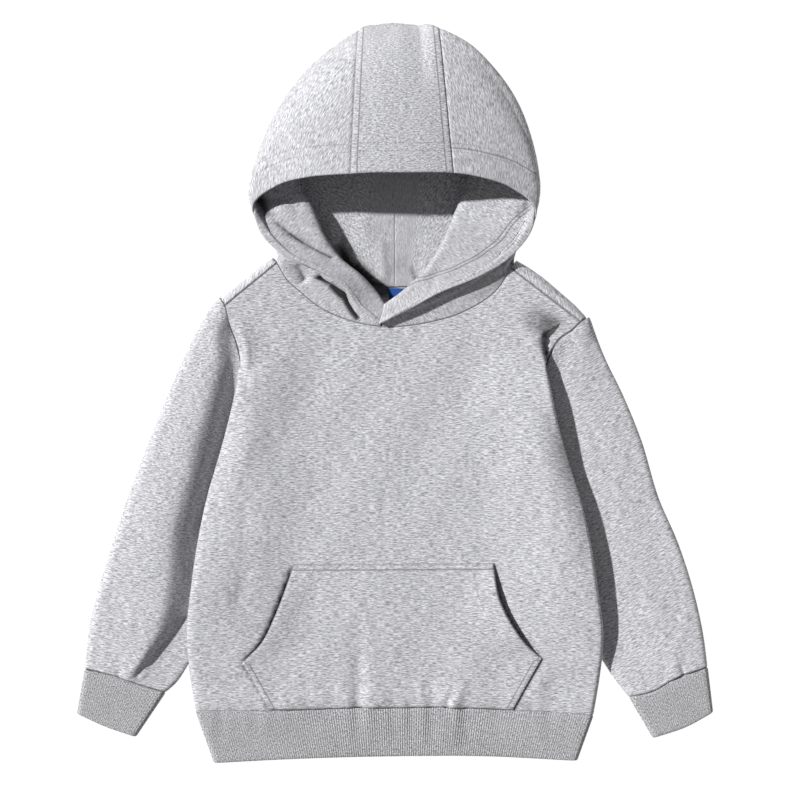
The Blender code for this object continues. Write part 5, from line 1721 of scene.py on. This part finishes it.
class HOODIE_OT_hood(bpy.types.Operator):
    """Sews the hood: centre panel, two sides, lining and topstitching"""

    bl_idname = "hoodie.hood"
    bl_label = "Hood"

    def execute(self, context):
        whole, way, shares, down, painted_shade = hood_surface()
        from_rim = travelled(whole, 0)
        around = shares * HOOD_OPENING

        def piece(name, node, first, last, below, above, lines):
            """The stretch of the hood between two shares of the opening, as a wall."""
            ends = [int(np.argmin(np.abs(shares - share))) for share in (first, last)]
            part = slice(ends[0], ends[1] + 1)
            grid, facing = whole[:, part].copy(), way[:, part]
            for end, on, share in ((0, 1, first), (-1, -2, last)):
                if share in (*CENTRE_PANEL, 0):
                    grid[:, end] += 0.25 * GAP * unit(grid[:, on] - grid[:, end])
            far = np.minimum(from_ends(grid, 0), from_ends(grid, 1))
            soft = 0.35 + 0.65 * quarter_circle(far, HOOD_SEAM_REACH)
            middle, half = (below + above) / 2, (above - below) / 2
            outer = above > 0
            u, v = np.repeat(around[None, part], len(down), 0), from_rim[:, part]
            turn = np.radians(HOOD_COURSES[name])
            flat = np.stack([u * np.cos(turn) + v * np.sin(turn),
                             v * np.cos(turn) - u * np.sin(turn)], -1)
            # The shell takes painted shade only on the flaps and in its first rows; the lining's
            # lower face takes it everywhere.
            takes_painted_shade = (np.abs(shares[part]) > FLAPS_FROM) | (down[:, None] < SHELL_PAINTED_SHADES_UP_TO)
            made = cloth(name, grid, middle - half * (1.0 if outer else soft),
                         middle + half * (soft if outer else 1.0), flat, lines(grid, v), jersey(),
                         way=facing,
                         painted_shade=(0, painted_shade[:, part] * takes_painted_shade) if outer else (painted_shade[:, part], 0))
            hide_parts(node)
            return grid + facing * above, facing

        def plain(grid, v):
            return three(like=grid)

        def pressed(grid, v):
            return three(v - PRESSED_LINE, like=grid)

        def hemmed(grid, v):
            return three(*(v - distance for distance in LINING_STITCHES), like=grid)

        def seamed(grid, v):
            side = from_ends(grid, 1)
            return three(side - CENTRE_STITCHES[0], side - SEAM_LINE, like=grid)

        right, left = CENTRE_PANEL
        shell = (LAYER_GAP / 2, LAYER_GAP / 2 + HOOD_SHELL)
        inside = (-LAYER_GAP / 2 - HOOD_LINING, -LAYER_GAP / 2)
        faces = [
            piece("hood_right", "hood_side_right", -1, right, *shell, plain),
            piece("hood_centre", "hood_centre_panel", right, left, *shell, seamed),
            piece("hood_left", "hood_side_left", left, 1, *shell, pressed),
        ]
        linings = [
            piece("lining_right", "hood_lining_right", -1, 0, *inside, plain),
            piece("lining_left", "hood_lining_left", 0, 1, *inside, hemmed),
        ]
        paths = []
        for face, facing in faces:
            paths += stitch_lines(face, facing, RIM_STITCHES)
        centre, facing = (np.swapaxes(a, 0, 1) for a in faces[1])
        stop = int(np.argmax(down > CENTRE_STITCHES_UP_TO))
        for flip in (1, -1):
            paths += stitch_lines(centre[::flip, :stop], facing[::flip, :stop], CENTRE_STITCHES)
        for face, facing in linings:
            paths += stitch_lines(face, -facing, LINING_STITCHES)
        topstitched("hood_stitches", paths)
        return {"FINISHED"}


class HOODIE_OT_label(bpy.types.Operator):
    """Sews in the plain neck label"""

    bl_idname = "hoodie.label"
    bl_label = "Neck label"

    def execute(self, context):
        across, up = np.meshgrid(np.linspace(-0.5, 0.5, 13), np.linspace(-0.5, 0.5, 17))
        curl = np.exp(-((up - 0.1) / 0.22)**2) * (0.7 + 0.6 * across)
        z = FLEECE + GAP + LABEL_LIFT + LABEL_CURL * curl
        grid = np.stack([LABEL_PLACE[0] + across * LABEL_SIZE[0],
                         LABEL_PLACE[1] + up * LABEL_SIZE[1], z], -1)
        tape = shared("label tape", lambda n: woven(n, context.scene.hoodie_cloth.label_colour))
        piece = cloth("label_tape", grid, -LABEL_TAPE / 2, LABEL_TAPE / 2, grid[..., :2],
                      three(like=grid), tape)
        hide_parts("neck_label")
        return {"FINISHED"}


class HOODIE_OT_sheets(bpy.types.Operator):
    """Does nothing"""

    bl_idname = "hoodie.sheets"
    bl_label = "Cuts"

    def execute(self, context):
        return {"FINISHED"}


# The floor's half width and its depth below the garment, in metres, and the share of its colour
# that it takes from the lights. The key light's way and the angle it comes from in degrees, and the
# camera's place in plan, in metres, and its sensor's width in millimetres.
FLOOR_REACH, FLOOR_DEPTH, FLOOR_SHADE = 3.0, 0.0004, 0.03
KEY_WAY, KEY_ANGLE = (1.06, -0.45, -1.0), 2.5
CAMERA_PLACE, SENSOR = (0.0044, -0.00528), 36.0


class HOODIE_OT_stage(bpy.types.Operator):
    """Lays the floor and sets the lights and the camera"""

    bl_idname = "hoodie.stage"
    bl_label = "Stage"

    def execute(self, context):
        scene, s = context.scene, context.scene.hoodie_stage
        mesh = bpy.data.meshes.new("floor")
        corners = [(x * FLOOR_REACH, y * FLOOR_REACH, -FLOOR_DEPTH)
                   for x, y in ((-1, -1), (1, -1), (1, 1), (-1, 1))]
        mesh.from_pydata(corners, [], [(0, 1, 2, 3)])
        floor = bpy.data.objects.new("floor", mesh)
        scene.collection.objects.link(floor)
        g = Graph("pale floor")
        for name, setting in (("Base Color", rgb(s.floor_colour, FLOOR_SHADE)), ("Roughness", 1.0),
                              ("Specular IOR Level", 0.0), ("Emission Color", (1, 1, 1, 1)),
                              ("Emission Strength", s.floor_glow)):
            g.shader.inputs[name].default_value = setting
        mesh.materials.append(g.material)

        lamp = bpy.data.lights.new("key", "SUN")
        lamp.energy, lamp.angle = s.key, np.radians(KEY_ANGLE)
        key = bpy.data.objects.new("key", lamp)
        x, y, z = unit(np.array(KEY_WAY))
        key.rotation_euler = (0, float(np.arccos(-z)), float(np.arctan2(y, x) + np.pi))
        scene.collection.objects.link(key)
        world = bpy.data.worlds.new("even light")
        world.use_nodes = True
        colour, strength = world.node_tree.nodes["Background"].inputs[:2]
        colour.default_value, strength.default_value = (1, 1, 1, 1), s.fill
        scene.world = world
        scene.view_settings.view_transform = "Standard"

        lens = bpy.data.cameras.new("camera")
        lens.lens, lens.sensor_width = s.lens, SENSOR
        camera = bpy.data.objects.new("camera", lens)
        camera.location = (*CAMERA_PLACE, s.camera_height)
        scene.collection.objects.link(camera)
        scene.camera = camera
        return {"FINISHED"}


OPERATORS = (HOODIE_OT_stage, HOODIE_OT_body, HOODIE_OT_sleeves, HOODIE_OT_bands, HOODIE_OT_pocket,
             HOODIE_OT_hood, HOODIE_OT_label, HOODIE_OT_sheets)


class HOODIE_PT_panel(bpy.types.Panel):
    """Lists the pieces in the order in which they are sewn"""

    bl_idname = "HOODIE_PT_panel"
    bl_label = "Toddler hoodie"
    bl_space_type = "VIEW_3D"
    bl_region_type = "UI"
    bl_category = "Hoodie"

    def draw(self, context):
        for operator in OPERATORS:
            self.layout.operator(operator.bl_idname)
        for key in GROUPS:
            group, box = getattr(context.scene, key), self.layout.box()
            for name in group.__annotations__:
                box.prop(group, name)


GROUPS = {"hoodie_cloth": HoodieCloth, "hoodie_thread": HoodieThread, "hoodie_stage": HoodieStage}


def register():
    for cls in (*GROUPS.values(), *OPERATORS, HOODIE_PT_panel):
        bpy.utils.register_class(cls)
    for name, group in GROUPS.items():
        setattr(bpy.types.Scene, name, PointerProperty(type=group))


def unregister():
    for name in GROUPS:
        delattr(bpy.types.Scene, name)
    for cls in reversed((*GROUPS.values(), *OPERATORS, HOODIE_PT_panel)):
        bpy.utils.unregister_class(cls)


def plain(box):
    """A box's corners as lists of numbers."""
    return [[float(v) for v in corner] for corner in box]


def main():
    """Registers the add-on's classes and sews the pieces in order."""
    register()
    for operator in OPERATORS:
        group, name = operator.bl_idname.split(".")
        getattr(getattr(bpy.ops, group), name)()


if __name__ == "__main__":
    main()
